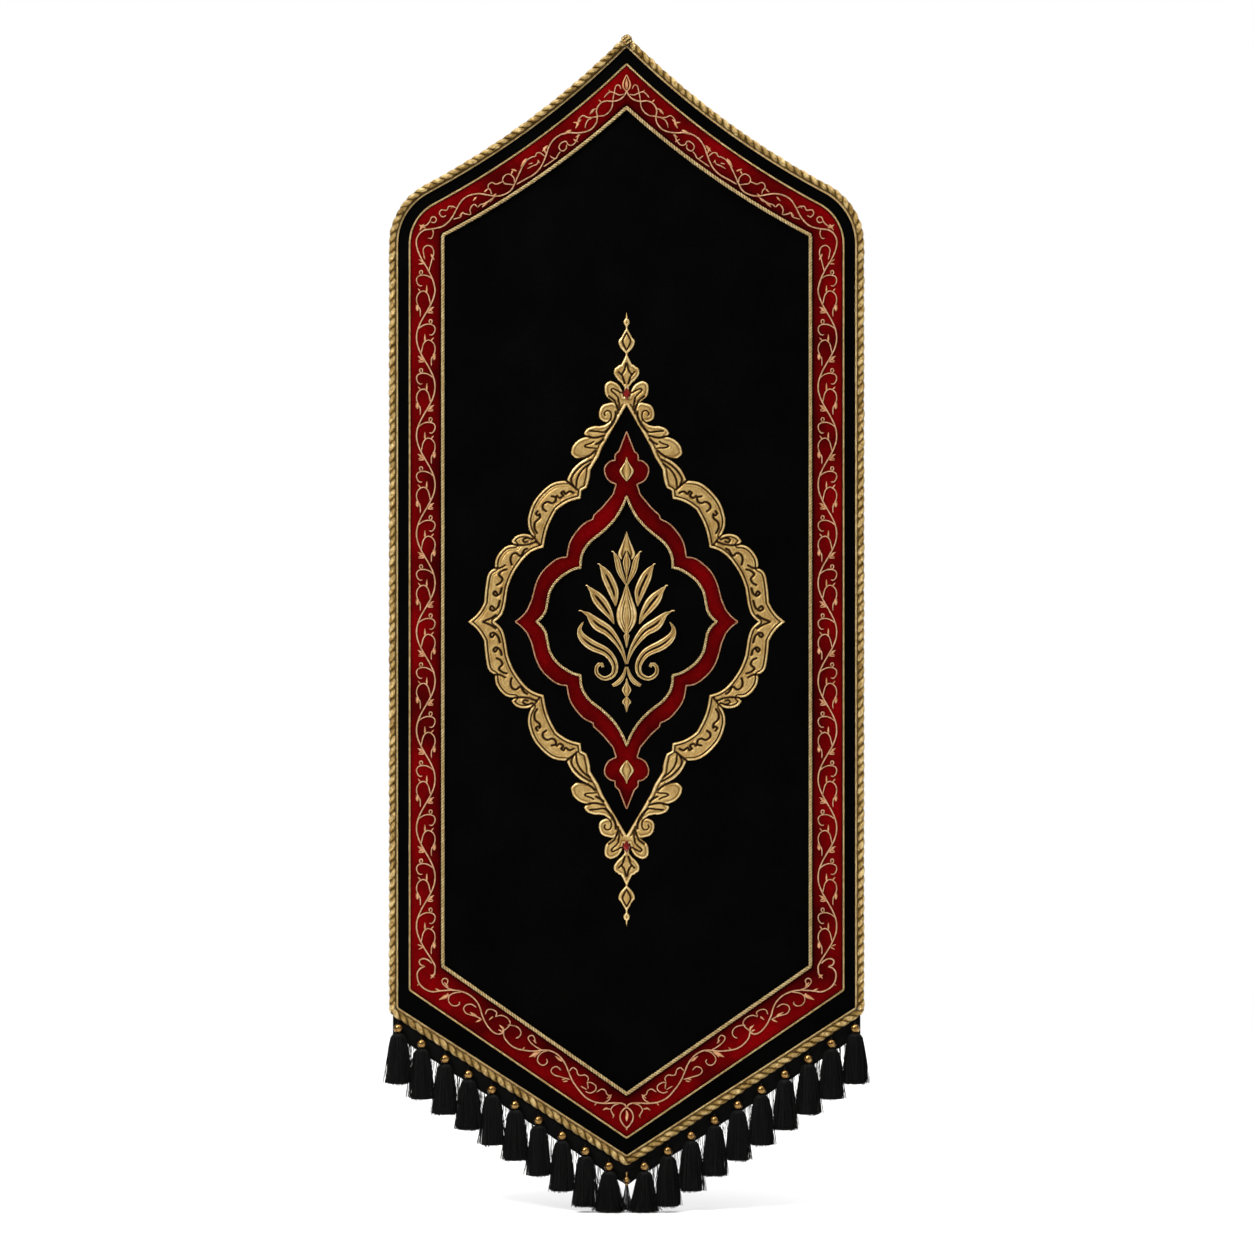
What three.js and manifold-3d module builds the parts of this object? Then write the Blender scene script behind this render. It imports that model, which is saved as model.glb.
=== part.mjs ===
// Religious banner: a black velvet hanging with an ogee top and a pointed hem, a red velvet border,
// gold cords and rope, an embroidered medallion, and 21 black tassels with gold beads.
// Millimetres, +Z up, the face towards -Y. The origin is the point at the top of the cloth.
import * as THREE from 'three';
import { mergeVertices } from 'three/addons/utils/BufferGeometryUtils.js';
import Module from 'manifold-3d';

const wasm = await Module();
wasm.setup();

// Cloth
const HALF_WIDTH = 254;
const CLOTH_THICKNESS = 2;
const CLOTH_FACE = -CLOTH_THICKNESS / 2;
const GAP = 0.3;
const ON_CLOTH = CLOTH_FACE - GAP;

// The two slopes of the top are hollow arcs that leave the point at this angle
const POINT_ANGLE = 45;
const SLOPE_RADIUS = 920.7;
const SLOPE_STEPS = 9;
const SHOULDER_STEPS = 6;

// Every line round the banner: how far it lies inside the cloth's side and top, the radius of
// its shoulder, and where its pointed hem comes to, with the hem's slope in degrees
const EDGE = { side: 0, top: 0, shoulder: 66.4, tip: -1225, slope: 32.85 };
const OUTER_CORD_LINE = { side: 15.5, top: 16, shoulder: 50, tip: -1203, slope: 34.3 };
const INNER_CORD_LINE = { side: 52, top: 51, shoulder: 0, tip: -1154.5, slope: 34.8 };

// Cords on the face and ropes along the edge
const FINE_CORD_RADIUS = 1.2;
const EDGE_CORD_INSET = 1.7;
const THICK_CORD_RADIUS = 2.6;
const PIPING_RADIUS = 1.6;
const CORD_SIDES = 5;
const BORDER_THICKNESS = 1;
const ROPE = { radius: 4, waist: 0.76, ends: 0.53, lobe: 14, lean: 0.6, sides: 5 };
const EDGE_ROPE = { out: 3.85, depth: -3.1, fromPoint: 3.5, end: -1058.5 };
const HEM_ROPE = { out: 3.9, depth: ON_CLOTH - ROPE.radius, reach: 255, bend: 4 };
const KNOT = { radius: 4.9, halfDepth: 3.6, height: 3.4, depth: -5.2, rows: 6, sides: 10 };

// Heading of the fringe: a black strip sewn under the hem
const STRIP = { reach: 257, drop: 30.3 };

// Tassels: beads 25.7 mm apart along the hem, and a small one under its point
const PAIRS = 10;
const FIRST_BEAD = { x: 19.6, z: -1233.6 };
const BEAD_STEP = { x: 25.7, z: 16.83 };
const FLOOR = -1283.7;
// The neck of a tassel starts inside its head, bends above the bead and ends at the strip
const NECK = { sunk: 1, bend: 1, end: 2.2 };
const BEAD = { radius: 5.25, bore: 1.15, sides: 8, arcSteps: 4 };
const TASSEL = {
  locks: 10, gapShare: 0.16, length: 62, uneven: 1.1, core: 0.45, neck: 0.7, lean: 0,
  crown: { halfWidth: 2.6, halfDepth: 2.6, drop: 5.9 },
  shoulder: { halfWidth: 6.3, halfDepth: 5.1, drop: 7.4 },
  root: { halfWidth: 7.4, halfDepth: 5.2, drop: 10.5 },
  hem: { halfWidth: 13.3, halfDepth: 7.1 },
};
// The innermost pair stands on the floor and spreads towards the middle
const FLOOR_TASSEL = { ...TASSEL, uneven: 0, lean: 1.5, hem: { halfWidth: 13.4, halfDepth: 7.3 } };
const MIDDLE_BEAD = { radius: 3.75, bore: 1.05, sides: 8, arcSteps: 4 };
const MIDDLE_HEIGHT = -1248.5;
const MIDDLE_TASSEL = {
  locks: 6, gapShare: 0.18, length: 34, uneven: 0.5, core: 0.4, neck: 0.6, lean: 0,
  crown: { halfWidth: 1.5, halfDepth: 1.5, drop: 4.3 },
  shoulder: { halfWidth: 2.3, halfDepth: 2.2, drop: 5.4 },
  root: { halfWidth: 2.6, halfDepth: 2.5, drop: 8 },
  hem: { halfWidth: 3.9, halfDepth: 3.2 },
};

// Medallion: charts are of its upper right quarter, in mm from its middle, from the top round to
// the side. bulge is how far a stretch swells out of its chord, away from the middle.
const MEDALLION_HEIGHT = -635.6;
const LOWER_HALF = 0.985;
const FRAME_THICKNESS = 2.5;
const LEAF_THICKNESS = 2;
const TIE_THICKNESS = 0.8;
const FINIAL_CHART = [
  { x: 0, z: 340.5 }, { x: 2.8, z: 332.5 }, { x: 2.8, z: 328.3 }, { x: 1, z: 324.3 }, { x: 1, z: 322 },
  { x: 8.7, z: 310.2, bulge: -1 }, { x: 8.7, z: 305.5 }, { x: 1, z: 295 }, { x: 1, z: 293.4 },
  { x: 6.2, z: 282.7 }, { x: 10.1, z: 280.3 }, { x: 14.1, z: 275.9 }, { x: 12.5, z: 269.9 },
  { x: 6.2, z: 263 }, { x: 2.6, z: 258.3 }, { x: 2.4, z: 248 },
];
const EAR_CHART = [
  { x: 3.4, z: 247.2 }, { x: 4.9, z: 253.9 }, { x: 17.5, z: 264.9, bulge: 2.4 },
  { x: 24.2, z: 255.2, bulge: 2.4 }, { x: 17.9, z: 244.4, bulge: 2 }, { x: 11.3, z: 238.6 },
];
const VOLUTE_CHART = [
  { x: 19.5, z: 240.5, bulge: 1.2 }, { x: 30.6, z: 229.7, bulge: 3.2 }, { x: 23.9, z: 219.8, bulge: 2.4 },
  { x: 19.8, z: 219.4 },
];
const LEAVES_CHART = [
  { x: 30.7, z: 215 }, { x: 38.5, z: 214.4 }, { x: 47, z: 207, bulge: 1.4 }, { x: 43.4, z: 203.4 },
  { x: 53.4, z: 199.7 }, { x: 61.2, z: 184.9, bulge: 2 }, { x: 51.8, z: 178.5, bulge: 1.2 },
  { x: 45, z: 179.5 }, { x: 59.6, z: 167.8, bulge: 1 }, { x: 66, z: 155 },
];
const SCALLOPS_CHART = [
  { x: 91.1, z: 145.5, bulge: 3.2 }, { x: 108.4, z: 114.5, bulge: 3 }, { x: 103.6, z: 94.3, bulge: 2 },
  { x: 115, z: 96.6, bulge: 1 }, { x: 126.8, z: 88.2, bulge: 2 }, { x: 122.7, z: 84.7 },
  { x: 138.7, z: 77.6, bulge: 2.4 }, { x: 144.8, z: 59.1, bulge: 2.2 }, { x: 153.7, z: 47.7, bulge: 2.2 },
  { x: 156.6, z: 21.5 }, { x: 174.6, z: 0, bulge: -2.2 },
];
const FRAME_OUTSIDE = [...FINIAL_CHART, ...EAR_CHART, ...VOLUTE_CHART, ...LEAVES_CHART, ...SCALLOPS_CHART];
const FRAME_INSIDE = [
  { x: 0, z: 238 }, { x: 16.4, z: 210 }, { x: 26.4, z: 192.3 }, { x: 30.8, z: 181.3 }, { x: 39.6, z: 167 },
  { x: 44, z: 147.2, bulge: -1 }, { x: 49.5, z: 144.3 }, { x: 50.5, z: 135.4 },
  { x: 76.8, z: 122.9, bulge: 2.3 }, { x: 91.1, z: 81.7, bulge: 2.7 }, { x: 115, z: 66.9, bulge: 2.8 },
  { x: 130.5, z: 37, bulge: 1.8 }, { x: 132.8, z: 21.5 }, { x: 136.6, z: 8.4 }, { x: 145, z: 0 },
];
const RED_OUTSIDE = [
  { x: 0, z: 209.2 }, { x: 8.6, z: 186.9 }, { x: 12.4, z: 183.5 }, { x: 12.4, z: 177.5 },
  { x: 21.3, z: 173.7, bulge: 1 }, { x: 24.2, z: 164.9, bulge: 1 }, { x: 11.3, z: 151.4, bulge: 3 },
  { x: 14.7, z: 140.1 }, { x: 26.6, z: 125.8 }, { x: 36.2, z: 116.9 }, { x: 36.9, z: 112.8 },
  { x: 54.1, z: 100.2, bulge: 1.4 }, { x: 64.8, z: 76.3, bulge: 1.8 }, { x: 65.5, z: 71 },
  { x: 81.5, z: 65.6, bulge: 1.4 }, { x: 100.7, z: 38.2, bulge: 2.8 }, { x: 104.2, z: 23.9 },
  { x: 108.9, z: 13.1 }, { x: 122.5, z: 0, bulge: -1 },
];
const PIPING_LINE = [
  { x: 0, z: 137.9 }, { x: 12.5, z: 113.3, bulge: -1 }, { x: 34.7, z: 92.5, bulge: -1 },
  { x: 47, z: 79, bulge: 1 }, { x: 50.6, z: 59.8, bulge: 1.2 }, { x: 66, z: 53.7, bulge: 1 },
  { x: 85, z: 32.3, bulge: 2.2 }, { x: 88.7, z: 12.7 }, { x: 99, z: 0, bulge: -1.2 },
];
const DIAMOND = { height: 166, halfWidth: 8.2, up: 14.8, down: 11.5 };
const GEM = { height: 250.8, halfWidth: 4, halfHeight: 6.6, thickness: 2.4, table: 0.5 };

// Palmette: each leaf is a row of places down its middle, with its width there
const PALMETTE_LEAVES = [
  // Upper leaf
  [{ x: 29.4, z: 62.9, width: 1 }, { x: 25.6, z: 57, width: 7 }, { x: 21.2, z: 48.8, width: 12 },
    { x: 15, z: 35, width: 12 }, { x: 13.1, z: 26.2, width: 7.7 }, { x: 12.1, z: 17.4, width: 1.1 }],
  // Middle leaf
  [{ x: 42.7, z: 39.1, width: 1 }, { x: 38.5, z: 34.4, width: 5.5 }, { x: 32.5, z: 26.7, width: 12.5 },
    { x: 25.9, z: 18.5, width: 13.5 }, { x: 18.7, z: 8, width: 8 }, { x: 13.9, z: -2.4, width: 1.1 }],
  // Lower leaf, which runs down into the stem
  [{ x: 49.4, z: 11.7, width: 1 }, { x: 41.8, z: 7.5, width: 5.5 }, { x: 32.5, z: -2.4, width: 13 },
    { x: 19.8, z: -10.7, width: 11.5 }, { x: 9, z: -24.4, width: 7 }, { x: 3.3, z: -36.5, width: 3.8 },
    { x: 0.4, z: -46.4, width: 2.2 }],
  // Leaf that ends in a scroll
  [{ x: 47.5, z: -0.2, width: 1 }, { x: 51.7, z: -7.9, width: 4.4 }, { x: 49, z: -16.7, width: 9 },
    { x: 38.5, z: -25.5, width: 11.5 }, { x: 21.6, z: -34, width: 9.5 }, { x: 13.2, z: -46.5, width: 7.5 },
    { x: 14.6, z: -57.8, width: 6 }, { x: 24.4, z: -62.4, width: 4.4 }, { x: 32.7, z: -56.9, width: 4.2 },
    { x: 32, z: -48.6, width: 3.5 }, { x: 27, z: -46.6, width: 3.6 }],
  // Sepal beside the flame
  [{ x: 14.6, z: 76.2, width: 1 }, { x: 12.7, z: 70.2, width: 4.5 }, { x: 10.5, z: 60.3, width: 6 },
    { x: 6, z: 49.3, width: 4.4 }, { x: 0.7, z: 39.5, width: 2 }],
  // Leg of the fork
  [{ x: 0.7, z: -49.7, width: 2.2 }, { x: 3.9, z: -59.6, width: 3.9 }, { x: 8.8, z: -66.2, width: 5 },
    { x: 14.9, z: -70.1, width: 3.3 }],
];
const PALMETTE_MIDDLES = [
  // Flame
  [{ x: 0, z: 99.3 }, { x: 3.3, z: 88.3 }, { x: 9.7, z: 77.5 }, { x: 6, z: 70.5 }, { x: 0, z: 79.5 }],
  // Lozenge in the flame
  [{ x: 0, z: 76.8 }, { x: 5, z: 63.6 }, { x: 0, z: 46.8 }],
  // Drop with its bud
  [{ x: 0, z: 42.6 }, { x: 6.2, z: 25 }, { x: 10.4, z: 14 }, { x: 11.4, z: 6 }, { x: 8.3, z: -5.8 },
    { x: 1.7, z: -13 }, { x: 3.7, z: -17 }, { x: 0, z: -28.4 }],
  // Diamonds under the fork
  [{ x: 0, z: -62 }, { x: 5.4, z: -74.6 }, { x: 0.9, z: -82.7 }, { x: 5, z: -88 }, { x: 0, z: -99.2 }],
];
// Low stitches that hold the palmette's leaves together
const PALMETTE_TIES = [
  [{ x: 12.5, z: 24, width: 2 }, { x: 8, z: 20, width: 2 }],
  [{ x: 18.5, z: 8, width: 2 }, { x: 22, z: -6, width: 2 }],
  [{ x: 15, z: -40, width: 2 }, { x: 8, z: -27, width: 2 }],
];
const SPINE = { top: 84, bottom: -92, halfWidth: 0.9 };

const CLOTH = new THREE.MeshStandardMaterial({ color: 0x0a0a0a, roughness: 0.95 });
const RED_VELVET = new THREE.MeshStandardMaterial({ color: 0x7a0308, roughness: 0.9 });
const GOLD_THREAD = new THREE.MeshStandardMaterial({ color: 0xc9a562, roughness: 0.45, metalness: 0.6 });
const BRASS = new THREE.MeshStandardMaterial({ color: 0xb5873a, roughness: 0.25, metalness: 1 });
const SILK = new THREE.MeshStandardMaterial({ color: 0x151515, roughness: 0.7 });
const GLASS_RED = new THREE.MeshStandardMaterial({ color: 0x8c0f0a, roughness: 0.15 });

const banner = new THREE.Group();

function add(name, geometry, material, place = [0, 0, 0]) {
  const mesh = new THREE.Mesh(geometry, material);
  mesh.name = name;
  mesh.position.set(...place);
  banner.add(mesh);
}

// Solids

// A geometry with only positions, its shared corners merged
function merged(geometry) {
  geometry.deleteAttribute('normal');
  geometry.deleteAttribute('uv');
  return mergeVertices(geometry, 1e-4);
}

function signedVolume(geometry) {
  const corner = (i) => new THREE.Vector3().fromBufferAttribute(geometry.attributes.position, i);
  const index = geometry.index.array;
  let volume = 0;
  for (let i = 0; i < index.length; i += 3) {
    const [a, b, c] = [corner(index[i]), corner(index[i + 1]), corner(index[i + 2])];
    volume += a.dot(b.cross(c)) / 6;
  }
  return volume;
}

// A geometry from corners and faces, turned so that its faces point out
function polyhedron(corners, faces) {
  const geometry = new THREE.BufferGeometry();
  geometry.setAttribute('position', new THREE.Float32BufferAttribute(corners.flat(), 3));
  const triangles = [];
  for (const face of faces) {
    for (let i = 2; i < face.length; i++) triangles.push(face[0], face[i - 1], face[i]);
  }
  geometry.setIndex(triangles);
  if (signedVolume(geometry) < 0) geometry.setIndex(triangles.reverse());
  return geometry;
}

function toManifold(geometry) {
  const vertProperties = new Float32Array(geometry.attributes.position.array);
  const triVerts = new Uint32Array(geometry.index.array);
  return new wasm.Manifold(new wasm.Mesh({ numProp: 3, vertProperties, triVerts }));
}

function fromManifold(whole) {
  const mesh = whole.getMesh();
  const geometry = new THREE.BufferGeometry();
  geometry.setAttribute('position', new THREE.BufferAttribute(mesh.vertProperties, 3));
  geometry.setIndex(new THREE.BufferAttribute(mesh.triVerts, 1));
  return geometry;
}

function joined(geometries) {
  return fromManifold(geometries.map(toManifold).reduce((whole, piece) => whole.add(piece)));
}

// A flat piece with its back at y = back, seen from the front as the outline of points
function plate(points, back, thickness) {
  const shape = new THREE.Shape(points);
  const geometry = new THREE.ExtrudeGeometry(shape, { depth: thickness, bevelEnabled: false });
  geometry.rotateX(Math.PI / 2);
  geometry.translate(0, back, 0);
  return merged(geometry);
}

// A flat piece with a hole of the second outline
function ring(points, hole, back, thickness) {
  const cutter = plate(hole, back + thickness, 3 * thickness);
  return fromManifold(toManifold(plate(points, back, thickness)).subtract(toManifold(cutter)));
}

// Lines round the banner

const radians = THREE.MathUtils.degToRad;

// The line a distance inside another, or outside it where the distance is negative
function inside(line, distance) {
  return {
    side: line.side + distance,
    top: line.top + distance,
    shoulder: Math.max(0, line.shoulder - distance),
    tip: line.tip + distance / Math.cos(radians(line.slope)),
    slope: line.slope,
  };
}

// The right half of a line, from its top point to the corner of its hem
function rightHalf(line) {
  const halfWidth = HALF_WIDTH - line.side;
  const radius = SLOPE_RADIUS + line.top;
  const centre = new THREE.Vector2(Math.sin(radians(POINT_ANGLE)), Math.cos(radians(POINT_ANGLE)));
  centre.multiplyScalar(SLOPE_RADIUS);
  const shoulder = new THREE.Vector2(halfWidth - line.shoulder, 0);
  shoulder.y = centre.y - Math.sqrt((radius + line.shoulder) ** 2 - (centre.x - shoulder.x) ** 2);
  const meet = Math.atan2(centre.x - shoulder.x, centre.y - shoulder.y);
  const start = Math.asin(centre.x / radius);
  const points = [];
  for (let i = 0; i <= SLOPE_STEPS; i++) {
    const angle = THREE.MathUtils.lerp(start, meet, i / SLOPE_STEPS);
    points.push(new THREE.Vector2(centre.x - radius * Math.sin(angle), centre.y - radius * Math.cos(angle)));
  }
  const steps = line.shoulder > 0 ? SHOULDER_STEPS : 0;
  for (let i = 1; i <= steps; i++) {
    const angle = THREE.MathUtils.lerp(meet, Math.PI / 2, i / steps);
    const way = new THREE.Vector2(Math.sin(angle), Math.cos(angle));
    points.push(way.multiplyScalar(line.shoulder).add(shoulder));
  }
  points.push(new THREE.Vector2(halfWidth, line.tip + halfWidth * Math.tan(radians(line.slope))));
  points[0].x = 0;
  return points;
}

const mirrored = (points) => points.map((p) => new THREE.Vector2(-p.x, p.y)).reverse();

// A whole line round the banner, from its top point down the right side
function bannerLine(line) {
  const right = rightHalf(line);
  return [...right, new THREE.Vector2(0, line.tip), ...mirrored(right.slice(1))];
}

// The points of a chart, its bulging stretches as arcs, lifted to the medallion's height
function charted(chart) {
  const points = [];
  chart.forEach((row, i) => {
    const end = new THREE.Vector2(row.x, row.z);
    if (row.bulge) {
      const start = new THREE.Vector2(chart[i - 1].x, chart[i - 1].z);
      const way = end.clone().sub(start).normalize();
      const out = new THREE.Vector2(-way.y, way.x);
      const steps = Math.abs(row.bulge) > 2 ? 3 : 2;
      for (let k = 1; k < steps; k++) {
        const share = k / steps;
        const swell = row.bulge * Math.sin(Math.PI * share);
        points.push(start.clone().lerp(end, share).addScaledVector(out, swell));
      }
    }
    points.push(end);
  });
  return points;
}

// A closed outline from the chart of its upper right quarter
function fourfold(chart) {
  const quarter = charted(chart);
  const lower = quarter.slice(0, -1).reverse();
  const right = [...quarter, ...lower.map((p) => new THREE.Vector2(p.x, -p.y * LOWER_HALF))];
  const left = mirrored(right.slice(1, -1));
  return [...right, ...left].map((p) => new THREE.Vector2(p.x, p.y + MEDALLION_HEIGHT));
}

// An outline moved outwards by a small distance
function spread(points, distance) {
  const sign = THREE.ShapeUtils.isClockWise(points) ? 1 : -1;
  return points.map((p, i) => {
    const before = points[(i + points.length - 1) % points.length];
    const after = points[(i + 1) % points.length];
    const corner = mitre(before, p, after);
    return p.clone().addScaledVector(corner.across, sign * distance * corner.stretch);
  });
}

// Cords and ropes

// The narrowest corner is cut off at this share of its full mitre
const SHARPEST = 0.35;

// The way along a path at a place on it, the way across, and how much its corner widens a section
function mitre(before, place, after) {
  const arriving = place.clone().sub(before ?? place).normalize();
  const leaving = (after ?? place).clone().sub(place).normalize();
  const along = arriving.clone().add(leaving).normalize();
  const across = new THREE.Vector2(-along.y, along.x);
  const side = before ? arriving : leaving;
  return { along, across, stretch: 1 / Math.max(SHARPEST, along.dot(side)) };
}

// A cord along a path at one depth. thickness gives the section's size at each place, and lean
// slants the sections.
function cord(path, depth, radius, sides, closed, thickness = () => 1, lean = 0) {
  const corners = [];
  const last = path.length - 1;
  path.forEach((place, i) => {
    const before = path[i - 1] ?? (closed ? path[last] : undefined);
    const after = path[i + 1] ?? (closed ? path[0] : undefined);
    const { along, across, stretch } = mitre(before, place, after);
    const reach = radius * thickness(i, last);
    for (let k = 0; k < sides; k++) {
      const angle = (2 * Math.PI * (k + 0.5)) / sides;
      const out = reach * Math.cos(angle);
      const point = place.clone().addScaledVector(across, out * stretch).addScaledVector(along, out * lean);
      corners.push([point.x, depth + reach * Math.sin(angle), point.y]);
    }
  });
  const faces = [];
  const rings = path.length;
  for (let i = 0; i < (closed ? rings : rings - 1); i++) {
    for (let k = 0; k < sides; k++) {
      const [a, b] = [i * sides + k, i * sides + ((k + 1) % sides)];
      const next = (((i + 1) % rings) - i) * sides;
      faces.push([a, b, b + next, a + next]);
    }
  }
  if (!closed) {
    const first = [...Array(sides).keys()];
    faces.push([...first].reverse());
    faces.push(first.map((k) => k + (rings - 1) * sides));
  }
  return polyhedron(corners, faces);
}

// The places at even steps along a path, from one distance along it to its end
function evenSteps(path, step, from) {
  const lengths = [0];
  for (let i = 1; i < path.length; i++) lengths.push(lengths[i - 1] + path[i].distanceTo(path[i - 1]));
  const whole = lengths.at(-1);
  const count = Math.round((whole - from) / step);
  const places = [];
  for (let k = 0; k <= count; k++) {
    const distance = from + ((whole - from) * k) / count;
    const i = Math.max(1, lengths.findIndex((length) => length >= distance - 1e-6));
    const share = (distance - lengths[i - 1]) / (lengths[i] - lengths[i - 1]);
    places.push(path[i - 1].clone().lerp(path[i], share));
  }
  return places;
}

// A twisted rope: full at the middle of each lobe and drawn in between them, with rounded ends
function rope(path, depth, from = 0) {
  const places = evenSteps(path, ROPE.lobe / 2, from);
  const thickness = (i, last) => (i === 0 || i === last ? ROPE.ends : i % 2 ? 1 : ROPE.waist);
  return cord(places, depth, ROPE.radius, ROPE.sides, false, thickness, ROPE.lean);
}

function apexKnot() {
  const knot = new THREE.SphereGeometry(KNOT.radius, KNOT.sides, KNOT.rows);
  knot.scale(1, KNOT.halfDepth / KNOT.radius, 1);
  knot.translate(0, KNOT.depth, KNOT.height);
  return merged(knot);
}

function edgeRope() {
  const right = rightHalf(inside(EDGE, -EDGE_ROPE.out));
  right.at(-1).y = EDGE_ROPE.end;
  const left = right.map((p) => new THREE.Vector2(-p.x, p.y));
  return joined([
    apexKnot(),
    rope(right, EDGE_ROPE.depth, EDGE_ROPE.fromPoint),
    rope(left, EDGE_ROPE.depth, EDGE_ROPE.fromPoint),
  ]);
}

function hemRope() {
  const line = inside(EDGE, -HEM_ROPE.out);
  const at = (x) => new THREE.Vector2(x, line.tip + Math.abs(x) * Math.tan(radians(line.slope)));
  const bend = new THREE.QuadraticBezierCurve(at(-HEM_ROPE.bend), at(0), at(HEM_ROPE.bend));
  return rope([at(-HEM_ROPE.reach), ...bend.getPoints(4), at(HEM_ROPE.reach)], HEM_ROPE.depth);
}

function headingStrip() {
  const slope = Math.tan(radians(EDGE.slope));
  const start = GAP / Math.cos(radians(EDGE.slope));
  const edge = (drop) => [-1, 0, 1].map((side) => {
    const x = side * STRIP.reach;
    return new THREE.Vector2(x, EDGE.tip - drop + Math.abs(x) * slope);
  });
  return plate([...edge(start), ...edge(STRIP.drop).reverse()], -CLOTH_FACE, CLOTH_THICKNESS);
}

// Beads and tassels

function bead({ radius, bore, sides, arcSteps }) {
  const mouth = Math.asin(bore / radius);
  const profile = [];
  for (let i = 0; i <= arcSteps; i++) {
    const angle = THREE.MathUtils.lerp(mouth, Math.PI - mouth, i / arcSteps);
    profile.push(new THREE.Vector2(radius * Math.sin(angle), -radius * Math.cos(angle)));
  }
  profile.push(profile[0].clone());
  const geometry = new THREE.LatheGeometry(profile, sides);
  geometry.rotateX(Math.PI / 2);
  return merged(geometry);
}

// Head and locks of a tassel, down from its bead's middle. Each lock has four sides and keeps a
// slit to the next, and its root is part of the head.
function tasselSkirt(size, number, lean) {
  const angles = [];
  for (let j = 0; j < size.locks; j++) {
    const half = (1 - size.gapShare) / 2;
    for (const share of [j - half, j + half]) angles.push((2 * Math.PI * share) / size.locks);
  }
  const oval = ({ halfWidth, halfDepth }, drop, share, angle, shift = 0) => [
    shift + share * halfWidth * Math.cos(angle),
    share * halfDepth * Math.sin(angle),
    -drop,
  ];
  const hemDrop = (j) => size.length - size.uneven * (1 + Math.sin(2.3 * j + 1.7 * number)) / 2;
  const corners = [[0, 0, -size.crown.drop], [0, 0, -size.root.drop]];
  for (const { drop, ...section } of [size.crown, size.shoulder, size.root]) {
    for (const angle of angles) corners.push(oval(section, drop, 1, angle));
  }
  for (const angle of angles) corners.push(oval(size.root, size.root.drop, size.core, angle));
  for (const share of [1, size.core]) {
    angles.forEach((angle, i) => {
      corners.push(oval(size.hem, hemDrop(Math.floor(i / 2)), share, angle, lean));
    });
  }
  const count = angles.length;
  const [crown, shoulder, root, core, hem, hemCore] = [0, 1, 2, 3, 4, 5].map(
    (row) => (i) => 2 + row * count + (i % count),
  );
  const faces = [];
  for (let i = 0; i < count; i++) {
    faces.push([0, crown(i), crown(i + 1)], [1, core(i + 1), core(i)]);
    faces.push([crown(i), shoulder(i), shoulder(i + 1), crown(i + 1)]);
    faces.push([shoulder(i), root(i), root(i + 1), shoulder(i + 1)]);
  }
  for (let a = 0; a < count; a += 2) {
    const b = a + 1;
    faces.push([root(a), hem(a), hem(b), root(b)], [core(b), hemCore(b), hemCore(a), core(a)]);
    faces.push([core(a), hemCore(a), hem(a), root(a)], [root(b), hem(b), hemCore(b), core(b)]);
    faces.push([hem(a), hemCore(a), hemCore(b), hem(b)], [root(b), core(b), core(b + 1), root(b + 1)]);
  }
  return polyhedron(corners, faces);
}

// The neck runs up through the bead and back to the strip behind it
function tasselNeck(size, beadRadius, depth) {
  const places = [
    new THREE.Vector3(0, 0, -size.crown.drop - NECK.sunk),
    new THREE.Vector3(0, 0, beadRadius + NECK.bend),
    new THREE.Vector3(0, ON_CLOTH - depth, beadRadius + NECK.end),
  ];
  const bend = places[2].clone().sub(places[1]).normalize().add(new THREE.Vector3(0, 0, 1)).normalize();
  const atBend = new THREE.Vector3(0, bend.z, -bend.y);
  const backwards = [new THREE.Vector3(0, 1, 0), atBend, new THREE.Vector3(0, 0, -1)];
  const corners = places.flatMap((place, i) => [[1, 1], [-1, 1], [-1, -1], [1, -1]].map(([x, back]) => {
    const point = place.clone().addScaledVector(backwards[i], back * size.neck);
    return [point.x + x * size.neck, point.y, point.z];
  }));
  const faces = [[3, 2, 1, 0], [8, 9, 10, 11]];
  for (let k = 0; k < 4; k++) {
    const n = (k + 1) % 4;
    faces.push([k, n, n + 4, k + 4], [k + 4, n + 4, n + 8, k + 8]);
  }
  return polyhedron(corners, faces);
}

function addTassel(number, x, z, size, beadSize) {
  const label = String(number).padStart(2, '0');
  const depth = ON_CLOTH - beadSize.radius;
  const lean = -Math.sign(x) * size.lean;
  const body = joined([tasselSkirt(size, number, lean), tasselNeck(size, beadSize.radius, depth)]);
  add(`tassel_${label}`, body, SILK, [x, depth, z]);
  add(`bead_${label}`, bead(beadSize), BRASS, [x, depth, z]);
}

// Numbered from the left, with the small one under the point in the middle
function addTassels() {
  for (let pair = 0; pair < PAIRS; pair++) {
    const x = FIRST_BEAD.x + pair * BEAD_STEP.x;
    const z = FIRST_BEAD.z + pair * BEAD_STEP.z;
    const size = pair === 0 ? { ...FLOOR_TASSEL, length: z - FLOOR } : TASSEL;
    addTassel(PAIRS - pair, -x, z, size, BEAD);
    addTassel(PAIRS + 2 + pair, x, z, size, BEAD);
  }
  addTassel(PAIRS + 1, 0, MIDDLE_HEIGHT, MIDDLE_TASSEL, MIDDLE_BEAD);
}

// Medallion

// The outline of a leaf from the places down its middle, mirrored where side is -1
function leafOutline(rows, side) {
  const places = rows.map((row) => new THREE.Vector2(side * row.x, row.z + MEDALLION_HEIGHT));
  const edge = (sign) => places.map((place, i) => {
    const { across } = mitre(places[i - 1], place, places[i + 1]);
    return place.clone().addScaledVector(across, (sign * rows[i].width) / 2);
  });
  return [...edge(1), ...edge(-1).reverse()];
}

function middleOutline(rows) {
  const right = rows.map((row) => new THREE.Vector2(row.x, row.z + MEDALLION_HEIGHT));
  return [...right, ...mirrored(right.slice(1, -1))];
}

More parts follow.
